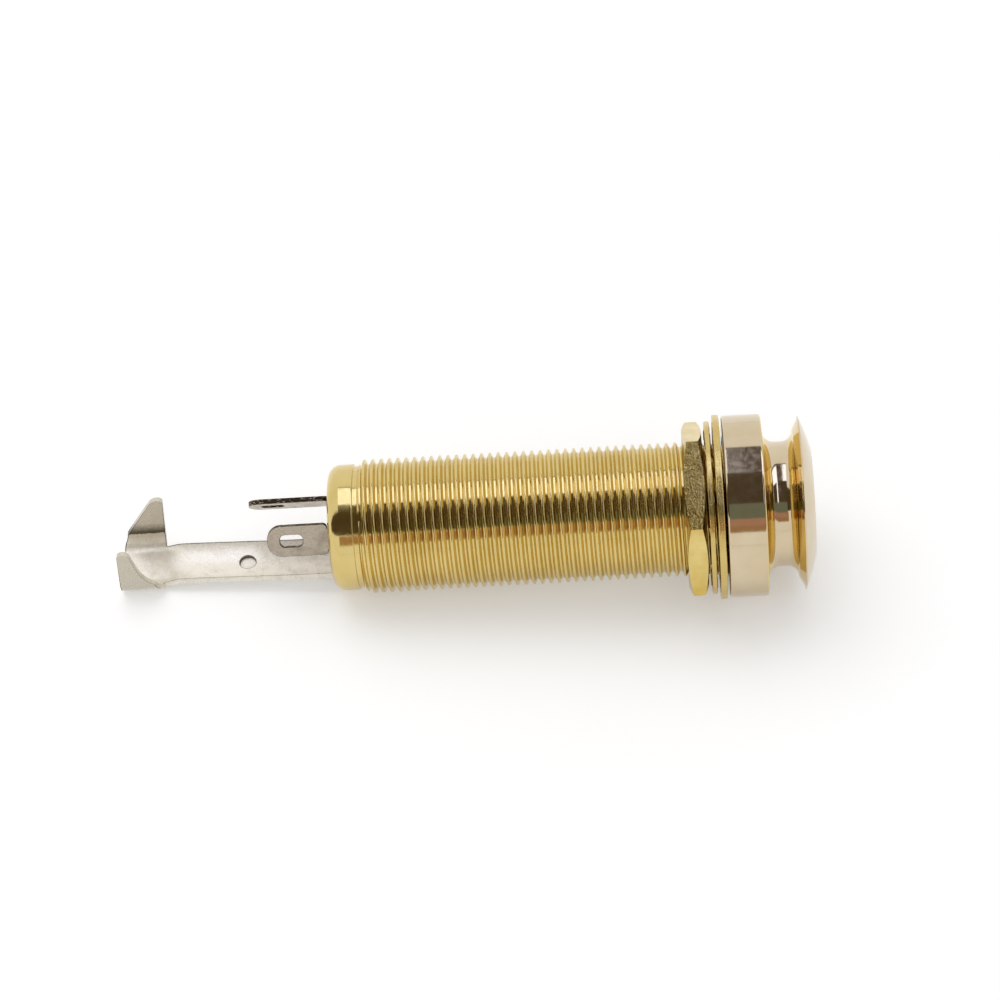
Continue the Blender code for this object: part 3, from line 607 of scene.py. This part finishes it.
def sheet_object(name, rows, inward, outward, materials=()):
    """A sheet through rows of points, made solid by so much to either side of them."""
    work = bmesh.new()
    add_rows(work, rows)
    mesh = bpy.data.meshes.new(name)
    work.to_mesh(mesh)
    work.free()
    for material in materials:
        mesh.materials.append(material)
    obj = new_object(name, mesh)
    solid = obj.modifiers.new("sheet", "SOLIDIFY")
    solid.thickness = inward + outward
    solid.offset = (inward - outward) / (inward + outward)
    solid.use_even_offset = True
    solid.material_offset_rim = -1
    apply_modifiers(obj)
    return obj


def make_notch():
    """The cutter that lets the ground strap out through the barrel's rear lip."""
    half = STRAP_WIDTH / 2 + NOTCH_SIDE
    front = BARREL_REAR + LIP_WALL + SEAT_GAP
    stations = spaced(BARREL_REAR - MM, front, 2)
    rows = [[strap_point(x, v) for v in spaced(-half, half, 12)] for x in stations]
    return sheet_object("lip_notch", rows, NOTCH_INWARD + SHEET / 2, NOTCH_OUTWARD)


def strap_across():
    """Distances across the flat blank, from the near ear's tip to the far one's."""
    strap = [*spaced(0, STRAP_WIDTH / 2 - EDGE_LINE, 10), STRAP_WIDTH / 2]
    bend = [v for v in spaced(BASE_HALF, BASE_HALF + BEND_LENGTH, 14) if v > STRAP_WIDTH / 2]
    fold = BASE_HALF + BEND_LENGTH
    shank = spaced(fold, fold + EAR_LENGTH - EAR_TIP_RADIUS, 16)[1:]
    angles = [math.radians(a) for a in spaced(0, 90, 8)[1:]]
    tip = [fold + EAR_LENGTH - EAR_TIP_RADIUS * (1 - math.sin(a)) for a in angles]
    positive = strap + bend + shank + tip
    return [-v for v in positive[:0:-1]] + positive


def make_ground_strap(materials):
    """One folded sheet: the clamp with its ears, the strap, and the tongue inside the barrel."""
    across = strap_across()
    rows = []
    for share in (0, 0.02, *spaced(0.08, 0.92, 14), 0.98, 1):
        row = []
        for v in across:
            rear, front = ear_span(v)
            row.append(strap_point(rear + (front - rear) * share, v))
        rows.append(row)
    half = STRAP_WIDTH / 2 + 1e-7
    outside = spaced(CLAMP_FRONT, BARREL_REAR, 60)[1:]
    inside = spaced(BARREL_REAR, BARREL_REAR + TONGUE_FRONT, 16)[1:]
    for x in outside + inside:
        rows.append([strap_point(x, v) if abs(v) <= half else None for v in across])
    strap = sheet_object("ground_strap_sheet", rows, SHEET / 2, SHEET / 2, materials)
    pierce(strap)
    round_edges(strap, STRAP_EDGE, 2, 40)
    return strap


def pip(name, radius, low_z, high_z, x):
    """An upright cylinder on the strap's middle line."""
    work = bmesh.new()
    bmesh.ops.create_cone(
        work, cap_ends=True, segments=40, radius1=radius, radius2=radius, depth=high_z - low_z,
        matrix=Matrix.Translation((x, 0, (high_z + low_z) / 2)),
    )
    return new_object(name, finish_mesh(name, work))


def pierce(strap):
    """The round pip, pushed part of the way through: hollow above and proud below."""
    x = BARREL_REAR - DIMPLE_DISTANCE
    floor = strap_point(x, 0).z
    boss = pip("pip_boss", DIMPLE_RADIUS - DIMPLE_WALL, floor - SHEET / 2 - DIMPLE_DEPTH, floor, x)
    cut(strap, boss, "UNION")
    hollow = pip("pip_hollow", DIMPLE_RADIUS, floor + SHEET / 2 - DIMPLE_DEPTH, floor + MM, x)
    cut(strap, hollow)


def filleted(corners, steps=8):
    """A closed outline with round corners, from (x, y, radius) corners."""
    outline = []
    for i, (x, y, radius) in enumerate(corners):
        before = corners[i - 1]
        after = corners[(i + 1) % len(corners)]
        to_before = math.atan2(before[1] - y, before[0] - x)
        to_after = math.atan2(after[1] - y, after[0] - x)
        turn_angle = (to_after - to_before + math.pi) % (2 * math.pi) - math.pi
        middle = to_before + turn_angle / 2
        reach = radius / math.sin(abs(turn_angle) / 2)
        centre = (x + reach * math.cos(middle), y + reach * math.sin(middle))
        sweep = (math.pi - abs(turn_angle)) * math.copysign(1, turn_angle)
        count = steps if radius else 0
        for k in range(count + 1):
            share = k / count - 0.5 if count else 0
            angle = middle + math.pi - sweep * share
            outline.append((centre[0] + radius * math.cos(angle), centre[1] + radius * math.sin(angle)))
    return outline


def plate_object(name, outlines):
    """A flat plate with holes, folded a little along the line where X is 0."""
    curve = bpy.data.curves.new(name, "CURVE")
    curve.dimensions = "2D"
    curve.fill_mode = "BOTH"
    curve.extrude = SHEET / 2
    for outline in outlines:
        spline = curve.splines.new("POLY")
        spline.points.add(len(outline) - 1)
        for point, (x, y) in zip(spline.points, outline):
            point.co = (x, y, 0, 1)
        spline.use_cyclic_u = True
    holder = new_object(name + "_outline", curve)
    graph = bpy.context.evaluated_depsgraph_get()
    mesh = bpy.data.meshes.new_from_object(holder.evaluated_get(graph))
    bpy.data.objects.remove(holder)
    bpy.data.curves.remove(curve)
    work = bmesh.new()
    work.from_mesh(mesh)
    bpy.data.meshes.remove(mesh)
    bmesh.ops.remove_doubles(work, verts=work.verts, dist=1e-6)
    everything = [*work.verts, *work.edges, *work.faces]
    bmesh.ops.bisect_plane(work, geom=everything, plane_co=(0, 0, 0), plane_no=(1, 0, 0))
    bmesh.ops.dissolve_limit(work, angle_limit=math.radians(1), verts=work.verts, edges=work.edges)
    neck = [vertex for vertex in work.verts if vertex.co.x > 1e-6]
    bmesh.ops.rotate(work, verts=neck, cent=(0, 0, 0), matrix=Matrix.Rotation(LUG_SPLAY, 4, "Y"))
    return new_object(name, finish_mesh(name, work))


def make_lug(node):
    rear = LUG_SHOULDER_OFFSET - LUG_REACH[node]
    blade = LUG_WIDTH / 2
    neck = LUG_NECK_WIDTH / 2
    outline = filleted([
        (rear, -blade, LUG_END_RADIUS),
        (0, -blade, LUG_SHOULDER_RADIUS),
        (0, -neck, 0),
        (LUG_NECK_LENGTH, -neck, 0),
        (LUG_NECK_LENGTH, neck, 0),
        (0, neck, 0),
        (0, blade, LUG_SHOULDER_RADIUS),
        (rear, blade, LUG_END_RADIUS),
    ])
    eye_rear = rear + LUG_EYE_INSET - LUG_EYE[0] / 2
    eye_front = rear + LUG_EYE_INSET + LUG_EYE[0] / 2
    eye_half = LUG_EYE[1] / 2
    eye = filleted([
        (eye_rear, -eye_half, LUG_EYE_RADIUS),
        (eye_front, -eye_half, LUG_EYE_RADIUS),
        (eye_front, eye_half, LUG_EYE_RADIUS),
        (eye_rear, eye_half, LUG_EYE_RADIUS),
    ])
    lug = plate_object(node + "_plate", [outline, eye])
    # Three slots: the faces, the line along their edges, and the cut faces
    for _ in range(3):
        lug.data.materials.append(None)
    for face in lug.data.polygons:
        face.material_index = 2 if abs(face.normal.z) < 0.5 else 0
    around = Matrix.Rotation(LUG_SIDE[node] * CONTACT_ANGLE, 4, "X")
    place = Matrix.Translation((BARREL_REAR - LUG_SHOULDER_OFFSET, 0, 0)) @ around
    lug.data.transform(place @ Matrix.Translation((0, 0, LUG_PLANE)))
    round_edges(lug, LUG_EDGE, 2, 40, 1)
    return lug


# Materials

class Nodes:
    """A small helper that adds and links shader nodes."""

    def __init__(self, name):
        self.material = bpy.data.materials.new(name)
        self.material.use_nodes = True
        self.tree = self.material.node_tree
        self.shader = self.tree.nodes["Principled BSDF"]

    def add(self, kind, inputs=None, **settings):
        node = self.tree.nodes.new(kind)
        for key, value in settings.items():
            setattr(node, key, value)
        for key, value in (inputs or {}).items():
            if isinstance(value, bpy.types.NodeSocket):
                self.tree.links.new(value, node.inputs[key])
            else:
                node.inputs[key].default_value = value
        return node

    def to_shader(self, socket, name):
        self.tree.links.new(socket, self.shader.inputs[name])

    def math(self, operation, a, b=0.0):
        return self.add("ShaderNodeMath", {0: a, 1: b}, operation=operation).outputs[0]

    def noise(self, vector, scale, detail=3.0, roughness=0.5):
        inputs = {"Vector": vector, "Scale": scale, "Detail": detail, "Roughness": roughness}
        return self.add("ShaderNodeTexNoise", inputs).outputs["Fac"]

    def between(self, factor, low_value, high_value, low_in=0.3, high_in=0.7):
        inputs = {0: factor, 1: low_in, 2: high_in, 3: low_value, 4: high_value}
        return self.add("ShaderNodeMapRange", inputs).outputs[0]

    def mix(self, factor, first, second):
        node = self.add("ShaderNodeMix", data_type="RGBA")
        for key, value in ((0, factor), (6, first), (7, second)):
            if isinstance(value, bpy.types.NodeSocket):
                self.tree.links.new(value, node.inputs[key])
            else:
                node.inputs[key].default_value = value
        return node.outputs[2]

    def bump(self, height, strength, distance):
        inputs = {"Height": height, "Strength": strength, "Distance": distance}
        self.to_shader(self.add("ShaderNodeBump", inputs).outputs[0], "Normal")

    def place(self):
        """The position on the object, in millimetres."""
        coordinate = self.add("ShaderNodeTexCoord").outputs["Object"]
        scale = self.add("ShaderNodeVectorMath", {0: coordinate, "Scale": 1000.0}, operation="SCALE")
        return scale.outputs[0]

    def stretched(self, place, along, across):
        """The place scaled by one factor along the axis and by another across it."""
        factors = (along, across, across)
        return self.add("ShaderNodeVectorMath", {0: place, 1: factors}, operation="MULTIPLY").outputs[0]

    def turned_place(self, stretch):
        """Coordinates of lathe marks: fine along the axis and the radius, long round the axis."""
        parts = self.add("ShaderNodeSeparateXYZ", {0: self.place()}).outputs
        squares = self.math("ADD", self.math("POWER", parts[1], 2.0), self.math("POWER", parts[2], 2.0))
        radius = self.math("SQRT", squares)
        angle = self.math("MULTIPLY", self.math("ARCTAN2", parts[1], parts[2]), stretch)
        return self.add("ShaderNodeCombineXYZ", {0: parts[0], 1: radius, 2: angle}).outputs[0]


def colour(red, green, blue):
    """A linear colour from values of 0 to 255 as they are read on a screen."""
    linear = [((v / 255 + 0.055) / 1.055) ** 2.4 if v > 10 else v / 255 / 12.92 for v in (red, green, blue)]
    return (*linear, 1)


def plated_metal(name, tone, shade, low_rough, high_rough, marks=0.04, pits=0.05, rich=None):
    """Polished plate: soft colour drift, lathe marks round the axis and a fine orange peel.

    rich is a deeper tone and the (station, half width) pairs, in metres, where it lies."""
    nodes = Nodes(name)
    place = nodes.place()
    drift = nodes.noise(place, 0.35, 4.0)
    surface = nodes.mix(nodes.between(drift, 0.0, 1.0), tone, shade)
    if rich:
        station = nodes.add("ShaderNodeSeparateXYZ", {0: place}).outputs[0]
        for middle, half in rich[1:]:
            offset = nodes.math("ABSOLUTE", nodes.math("SUBTRACT", station, middle / MM))
            share = nodes.between(offset, 1.0, 0.0, 0.6 * half / MM, half / MM)
            surface = nodes.mix(share, surface, rich[0])
    nodes.to_shader(surface, "Base Color")
    haze = nodes.noise(place, 2.2, 5.0)
    nodes.to_shader(nodes.between(haze, low_rough, high_rough), "Roughness")
    nodes.shader.inputs["Metallic"].default_value = 1.0
    lathe = nodes.noise(nodes.turned_place(0.35), 9.0, 3.0)
    peel = nodes.noise(place, 6.0, 3.0)
    height = nodes.math("ADD", nodes.math("MULTIPLY", lathe, marks), nodes.math("MULTIPLY", peel, pits))
    nodes.bump(height, 0.5, 0.0001)
    return nodes.material


# The ground strap's painted shade and painted dark reflection: where the marks begin, and their tones
BEND_REFLECTION_LOW = -2.45 * MM
EAR_SHADE_LOW = -3.6 * MM
EAR_SHADE_TONE = colour(200, 190, 170)
PAINTED_SHADE_TONE = colour(84, 75, 54)


def painted_shade_marks(nodes, place, surface):
    """Painted shade: greyer clamp ears and a dark ring round the pip; and a painted dark reflection where
    the far ear is bent.
    """
    parts = nodes.add("ShaderNodeSeparateXYZ", {0: place}).outputs
    ragged = nodes.math("MULTIPLY", nodes.noise(place, 3.0, 4.0, 0.6), 0.5)
    height = nodes.math("ADD", parts[2], ragged)
    # Painted shade: the upright clamp ears turn greyer above a ragged height.
    upright = nodes.between(height, 0.0, 0.75, EAR_SHADE_LOW / MM, EAR_SHADE_LOW / MM + 0.8)
    surface = nodes.mix(upright, surface, EAR_SHADE_TONE)
    # Painted shade: a dark ring round the rim of the pip's hollow.
    along = nodes.math("SUBTRACT", parts[0], (BARREL_REAR - DIMPLE_DISTANCE) / MM)
    squares = nodes.math("ADD", nodes.math("POWER", along, 2.0), nodes.math("POWER", parts[1], 2.0))
    from_middle = nodes.math("SQRT", squares)
    from_ring = nodes.math("ABSOLUTE", nodes.math("SUBTRACT", from_middle, DIMPLE_RADIUS / MM))
    ring = nodes.between(from_ring, 0.85, 0.0, 0.03, 0.075)
    surface = nodes.mix(ring, surface, PAINTED_SHADE_TONE)
    # Painted dark reflection: a dark band on the far ear where it rises from its bend.
    begins = nodes.between(height, 0.0, 1.0, BEND_REFLECTION_LOW / MM, BEND_REFLECTION_LOW / MM + 0.12)
    fades = nodes.between(height, 1.0, 0.0, BEND_REFLECTION_LOW / MM + 0.35, BEND_REFLECTION_LOW / MM + 1.5)
    band = nodes.math("MULTIPLY", begins, fades)
    far_side = nodes.math("GREATER_THAN", parts[1], STRAP_WIDTH / 2 / MM)
    clamp = nodes.math("LESS_THAN", parts[0], CLAMP_FRONT / MM + 0.1)
    on_ear = nodes.math("MULTIPLY", far_side, clamp)
    return nodes.mix(nodes.math("MULTIPLY", band, on_ear), surface, PAINTED_SHADE_TONE)


def tinned_metal(name, tone, stain, low_rough, high_rough, grain=0.5, folded=False, metallic=1.0):
    """Tinned sheet: cloudy satin, brown stains, rolling scratches along the strip."""
    nodes = Nodes(name)
    place = nodes.place()
    cloud = nodes.noise(place, 0.9, 6.0, 0.65)
    speck = nodes.noise(place, 5.0, 4.0, 0.6)
    blotch = nodes.between(cloud, 0.0, 1.0, 0.48, 0.72)
    stained = nodes.math("MULTIPLY", blotch, nodes.between(speck, 0.3, 1.0))
    surface = nodes.mix(stained, tone, stain)
    # folded adds the clamp's painted shade and painted dark reflection to the colour.
    if folded:
        surface = painted_shade_marks(nodes, place, surface)
    nodes.to_shader(surface, "Base Color")
    nodes.to_shader(nodes.between(cloud, low_rough, high_rough), "Roughness")
    nodes.shader.inputs["Metallic"].default_value = metallic
    lines = nodes.noise(nodes.stretched(place, 0.4, 9.0), 1.3, 3.0)
    scratches = nodes.math("MULTIPLY", lines, 0.25 * grain)
    height = nodes.math("ADD", scratches, nodes.math("MULTIPLY", speck, grain))
    nodes.bump(height, 0.35, 0.0001)
    return nodes.material


def cut_edge(name, dark, bright, first, last):
    """The sheared edge of tinned sheet: dark bare metal with bright dashes of plating."""
    nodes = Nodes(name)
    place = nodes.place()
    dashes = nodes.noise(nodes.stretched(place, 0.9, 3.2), 2.4, 4.0, 0.6)
    nodes.to_shader(nodes.mix(nodes.between(dashes, 0.0, 1.0, first, last), dark, bright), "Base Color")
    nodes.to_shader(nodes.between(dashes, 0.5, 0.3), "Roughness")
    nodes.shader.inputs["Metallic"].default_value = 1.0
    nodes.bump(nodes.noise(place, 8.0, 3.0), 0.5, 0.00008)
    return nodes.material


def board_material(name, tone, other, rough):
    """Layered or moulded insulation: mottled tone with a fine grain."""
    nodes = Nodes(name)
    place = nodes.place()
    mottle = nodes.noise(place, 2.5, 5.0, 0.6)
    nodes.to_shader(nodes.mix(nodes.between(mottle, 0.0, 1.0), tone, other), "Base Color")
    nodes.to_shader(nodes.between(mottle, rough, rough + 0.15), "Roughness")
    nodes.bump(nodes.noise(place, 14.0, 3.0), 0.3, 0.00005)
    return nodes.material


def dress(obj, *materials):
    for i, material in enumerate(materials):
        if i < len(obj.data.materials):
            obj.data.materials[i] = material
        else:
            obj.data.materials.append(material)


def stand_for(piece, node, body, slot, *materials):
    dress(piece, *materials)
    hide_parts(node)
    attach(piece, body)


def dress_node(node, material):
    for material_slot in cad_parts[node].material_slots:
        material_slot.material = material


# Stage

def floor_material():
    """A pale table that the camera and reflections see as white, with the soft shadow kept."""
    nodes = Nodes("floor_white")
    tree = nodes.tree
    nodes.shader.inputs["Base Color"].default_value = (0.8, 0.8, 0.8, 1)
    nodes.shader.inputs["Roughness"].default_value = 0.9
    nodes.shader.inputs["Specular IOR Level"].default_value = 0.0
    rays = nodes.add("ShaderNodeLightPath").outputs
    mirrored = nodes.math("MAXIMUM", rays["Is Glossy Ray"], rays["Is Transmission Ray"])
    seen = nodes.math("MAXIMUM", rays["Is Camera Ray"], mirrored)
    strength = nodes.math("MULTIPLY", seen, FLOOR_GLOW)
    glow = nodes.add("ShaderNodeEmission", {"Color": (1, 1, 1, 1), "Strength": strength})
    both = nodes.add("ShaderNodeAddShader", {0: nodes.shader.outputs[0], 1: glow.outputs[0]})
    tree.links.new(both.outputs[0], tree.nodes["Material Output"].inputs["Surface"])
    return nodes.material


def floor_matrix(origin):
    return Matrix((
        (FLOOR_ALONG.x, ACROSS.x, FLOOR_UP.x, origin.x),
        (FLOOR_ALONG.y, ACROSS.y, FLOOR_UP.y, origin.y),
        (FLOOR_ALONG.z, ACROSS.z, FLOOR_UP.z, origin.z),
        (0, 0, 0, 1),
    ))


def make_floor():
    work = bmesh.new()
    bmesh.ops.create_grid(work, x_segments=1, y_segments=1, size=3.0)
    mesh = bpy.data.meshes.new("floor")
    work.to_mesh(mesh)
    work.free()
    floor = new_object("floor", mesh)
    floor.matrix_world = floor_matrix(washer_low)
    dress(floor, floor_material())


def view_direction(elevation, azimuth):
    """From the object toward a viewer, measured on the floor: azimuth 0 is the photograph's side."""
    return (
        -math.cos(elevation) * math.cos(azimuth) * ACROSS
        + math.cos(elevation) * math.sin(azimuth) * FLOOR_ALONG
        + math.sin(elevation) * FLOOR_UP
    )


def look(direction, up):
    """A rotation whose Z axis is the direction and whose Y axis leans to up."""
    back = direction.normalized()
    right = up.cross(back).normalized()
    return Matrix((right, back.cross(right), back)).transposed().to_4x4()


def make_camera():
    data = bpy.data.cameras.new("photo_camera")
    data.lens = CAMERA_LENS
    data.sensor_width = CAMERA_SENSOR
    data.clip_start = 0.01
    data.clip_end = 20
    camera = bpy.data.objects.new("photo_camera", data)
    bpy.context.scene.collection.objects.link(camera)
    direction = view_direction(CAMERA_ELEVATION, CAMERA_AZIMUTH)
    target = FLOOR_ALONG * TARGET_ALONG + ACROSS * TARGET_ACROSS
    place = Matrix.Translation(target + direction * CAMERA_DISTANCE)
    camera.matrix_world = place @ look(direction, FLOOR_UP)
    bpy.context.scene.camera = camera


def add_lamp(name, elevation, azimuth, distance, size, power):
    """A soft lamp that polished metal doesn't mirror."""
    data = bpy.data.lights.new(name, "AREA")
    data.shape = "SQUARE"
    data.size = size
    data.energy = power
    lamp = bpy.data.objects.new(name, data)
    bpy.context.scene.collection.objects.link(lamp)
    direction = view_direction(math.radians(elevation), math.radians(azimuth))
    lamp.matrix_world = Matrix.Translation(direction * distance) @ look(direction, FLOOR_UP)
    lamp.visible_glossy = False


def card_material(name, tone):
    nodes = Nodes(name)
    glow = nodes.add("ShaderNodeEmission", {"Color": (*tone, 1), "Strength": 1.0})
    nodes.tree.links.new(glow.outputs[0], nodes.tree.nodes["Material Output"].inputs["Surface"])
    return nodes.material


def add_card(name, elevations, stations, radius, tone):
    """A studio card bent round the jack's axis, which only reflections see.

    It spans elevations in degrees from the near side over the top, and stations along the
    axis, both as (start, end)."""
    work = bmesh.new()
    rows = []
    for elevation in spaced(*elevations, CARD_STEPS):
        angle = math.radians(elevation)
        y, z = -radius * math.cos(angle), radius * math.sin(angle)
        rows.append([Vector((station, y, z)) for station in stations])
    add_rows(work, rows)
    mesh = bpy.data.meshes.new(name)
    work.to_mesh(mesh)
    work.free()
    card = new_object(name, mesh)
    card.visible_camera = False
    card.visible_diffuse = False
    card.visible_shadow = False
    card.visible_transmission = False
    dress(card, card_material(name, tone))


def make_world():
    """White to the camera and in reflections; a plain level of soft light on surfaces."""
    world = bpy.data.worlds.new("studio")
    world.use_nodes = True
    bpy.context.scene.world = world
    tree = world.node_tree
    background = tree.nodes["Background"]
    background.inputs["Color"].default_value = (1, 1, 1, 1)
    rays = tree.nodes.new("ShaderNodeLightPath")
    glossy = tree.nodes.new("ShaderNodeMath")
    glossy.operation = "MAXIMUM"
    tree.links.new(rays.outputs["Is Glossy Ray"], glossy.inputs[0])
    tree.links.new(rays.outputs["Is Transmission Ray"], glossy.inputs[1])
    seen = tree.nodes.new("ShaderNodeMath")
    seen.operation = "MAXIMUM"
    tree.links.new(rays.outputs["Is Camera Ray"], seen.inputs[0])
    tree.links.new(glossy.outputs[0], seen.inputs[1])
    level = tree.nodes.new("ShaderNodeMapRange")
    level.inputs["To Min"].default_value = SOFT_LIGHT
    level.inputs["To Max"].default_value = 1.0
    tree.links.new(seen.outputs[0], level.inputs["Value"])
    tree.links.new(level.outputs[0], background.inputs["Strength"])


def make_lights():
    """One soft lamp from the far left for the shadow, and the cards that the metal mirrors."""
    add_lamp("key", elevation=64, azimuth=222, distance=0.6, size=0.5, power=1.15)
    add_card("dark_card", (36, 129), (-0.072, 0.6), 0.5, DARK_TONE)
    add_card("dark_card_left", (36, 80), (-2.5, -0.072), 0.5, DARK_TONE)
    add_card("window_left", (92, 127), (-0.066, 0.026), 0.48, WINDOW_TONE)
    add_card("window_right", (90, 124), (0.08, 0.5), 0.48, WINDOW_TONE)
    add_card("window_low", (50, 90), (0.08, 0.14), 0.48, WINDOW_TONE)
    add_card("warm_card", (17, 34), (-0.085, 0.6), 0.5, WARM_TONE)
    add_card("pink_card", (25, 34), (0.0, 0.6), 0.49, PINK_TONE)
    add_card("cool_card", (34, 53), (-0.02, 0.6), 0.47, COOL_TONE)
    make_world()


# Finishes

neck_rear = ORIGIN + COLLAR_LENGTH
neck_ends = ((neck_rear + 0.2 * MM, 0.4 * MM), (neck_rear + NECK_LENGTH, 0.55 * MM))
yellow_gold = plated_metal(
    "yellow_gold", colour(218, 196, 132), colour(208, 184, 116), 0.09, 0.17, marks=0.015
)
pale_gold = plated_metal(
    "pale_gold", colour(212, 196, 166), colour(205, 187, 154), 0.07, 0.12, marks=0.012, pits=0.02,
    rich=(colour(222, 196, 130), *neck_ends),
)
milled_gold = plated_metal(
    "milled_gold", colour(226, 206, 138), colour(204, 174, 92), 0.1, 0.18, marks=0.02, pits=0.4
)
washer_gold = plated_metal(
    "washer_gold", colour(214, 190, 124), colour(200, 174, 104), 0.16, 0.3, marks=0.3, pits=0.25
)
# The strap's sheet carries the clamp's painted shade and painted dark reflection.
tinned = tinned_metal(
    "tinned", colour(246, 239, 225), colour(214, 204, 186), 0.2, 0.34, folded=True, metallic=0.3
)
tinned_lug = tinned_metal(
    "tinned_lug", colour(184, 174, 158), colour(132, 120, 102), 0.22, 0.36, grain=0.8
)
spring_bronze = tinned_metal(
    "spring_bronze", colour(205, 190, 160), colour(160, 135, 95), 0.2, 0.35, grain=0.2
)
edge_line = cut_edge("edge_line", colour(82, 72, 54), colour(170, 160, 138), 0.54, 0.68)
cut_face = cut_edge("cut_face", colour(74, 60, 40), colour(214, 204, 184), 0.56, 0.62)
black_moulding = board_material("black_moulding", colour(34, 32, 30), colour(24, 23, 22), 0.45)
insulating_board = board_material("insulating_board", colour(150, 104, 58), colour(120, 78, 40), 0.5)


# Pieces

make_camera()
make_floor()
stand_for(make_barrel(), "barrel", "jack_body", "yellow_gold", yellow_gold)
stand_for(make_button(), "strap_button", "button", "pale_gold", pale_gold)
stand_for(make_flat_washer(), "flat_washer", "washer", "yellow_gold", washer_gold)
stand_for(make_lock_washer(), "lock_washer", "tooth_washer", "yellow_gold", washer_gold)
stand_for(make_hex_nut(), "hex_nut", "nut", "yellow_gold", milled_gold)
strap_finishes = (tinned, edge_line)
stand_for(make_ground_strap(strap_finishes), "ground_strap", "jack_body", "tinned", *strap_finishes)
for lug_node in LUG_REACH:
    stand_for(make_lug(lug_node), lug_node, "jack_body", "tinned", tinned_lug, edge_line, cut_face)
for spring_node in ("tip_spring", "ring_spring"):
    dress_node(spring_node, spring_bronze)
dress_node("contact_holder", black_moulding)
for board_node in ("rear_insulator", "liner_tube"):
    dress_node(board_node, insulating_board)
make_lights()

bpy.context.scene.view_settings.view_transform = "Standard"
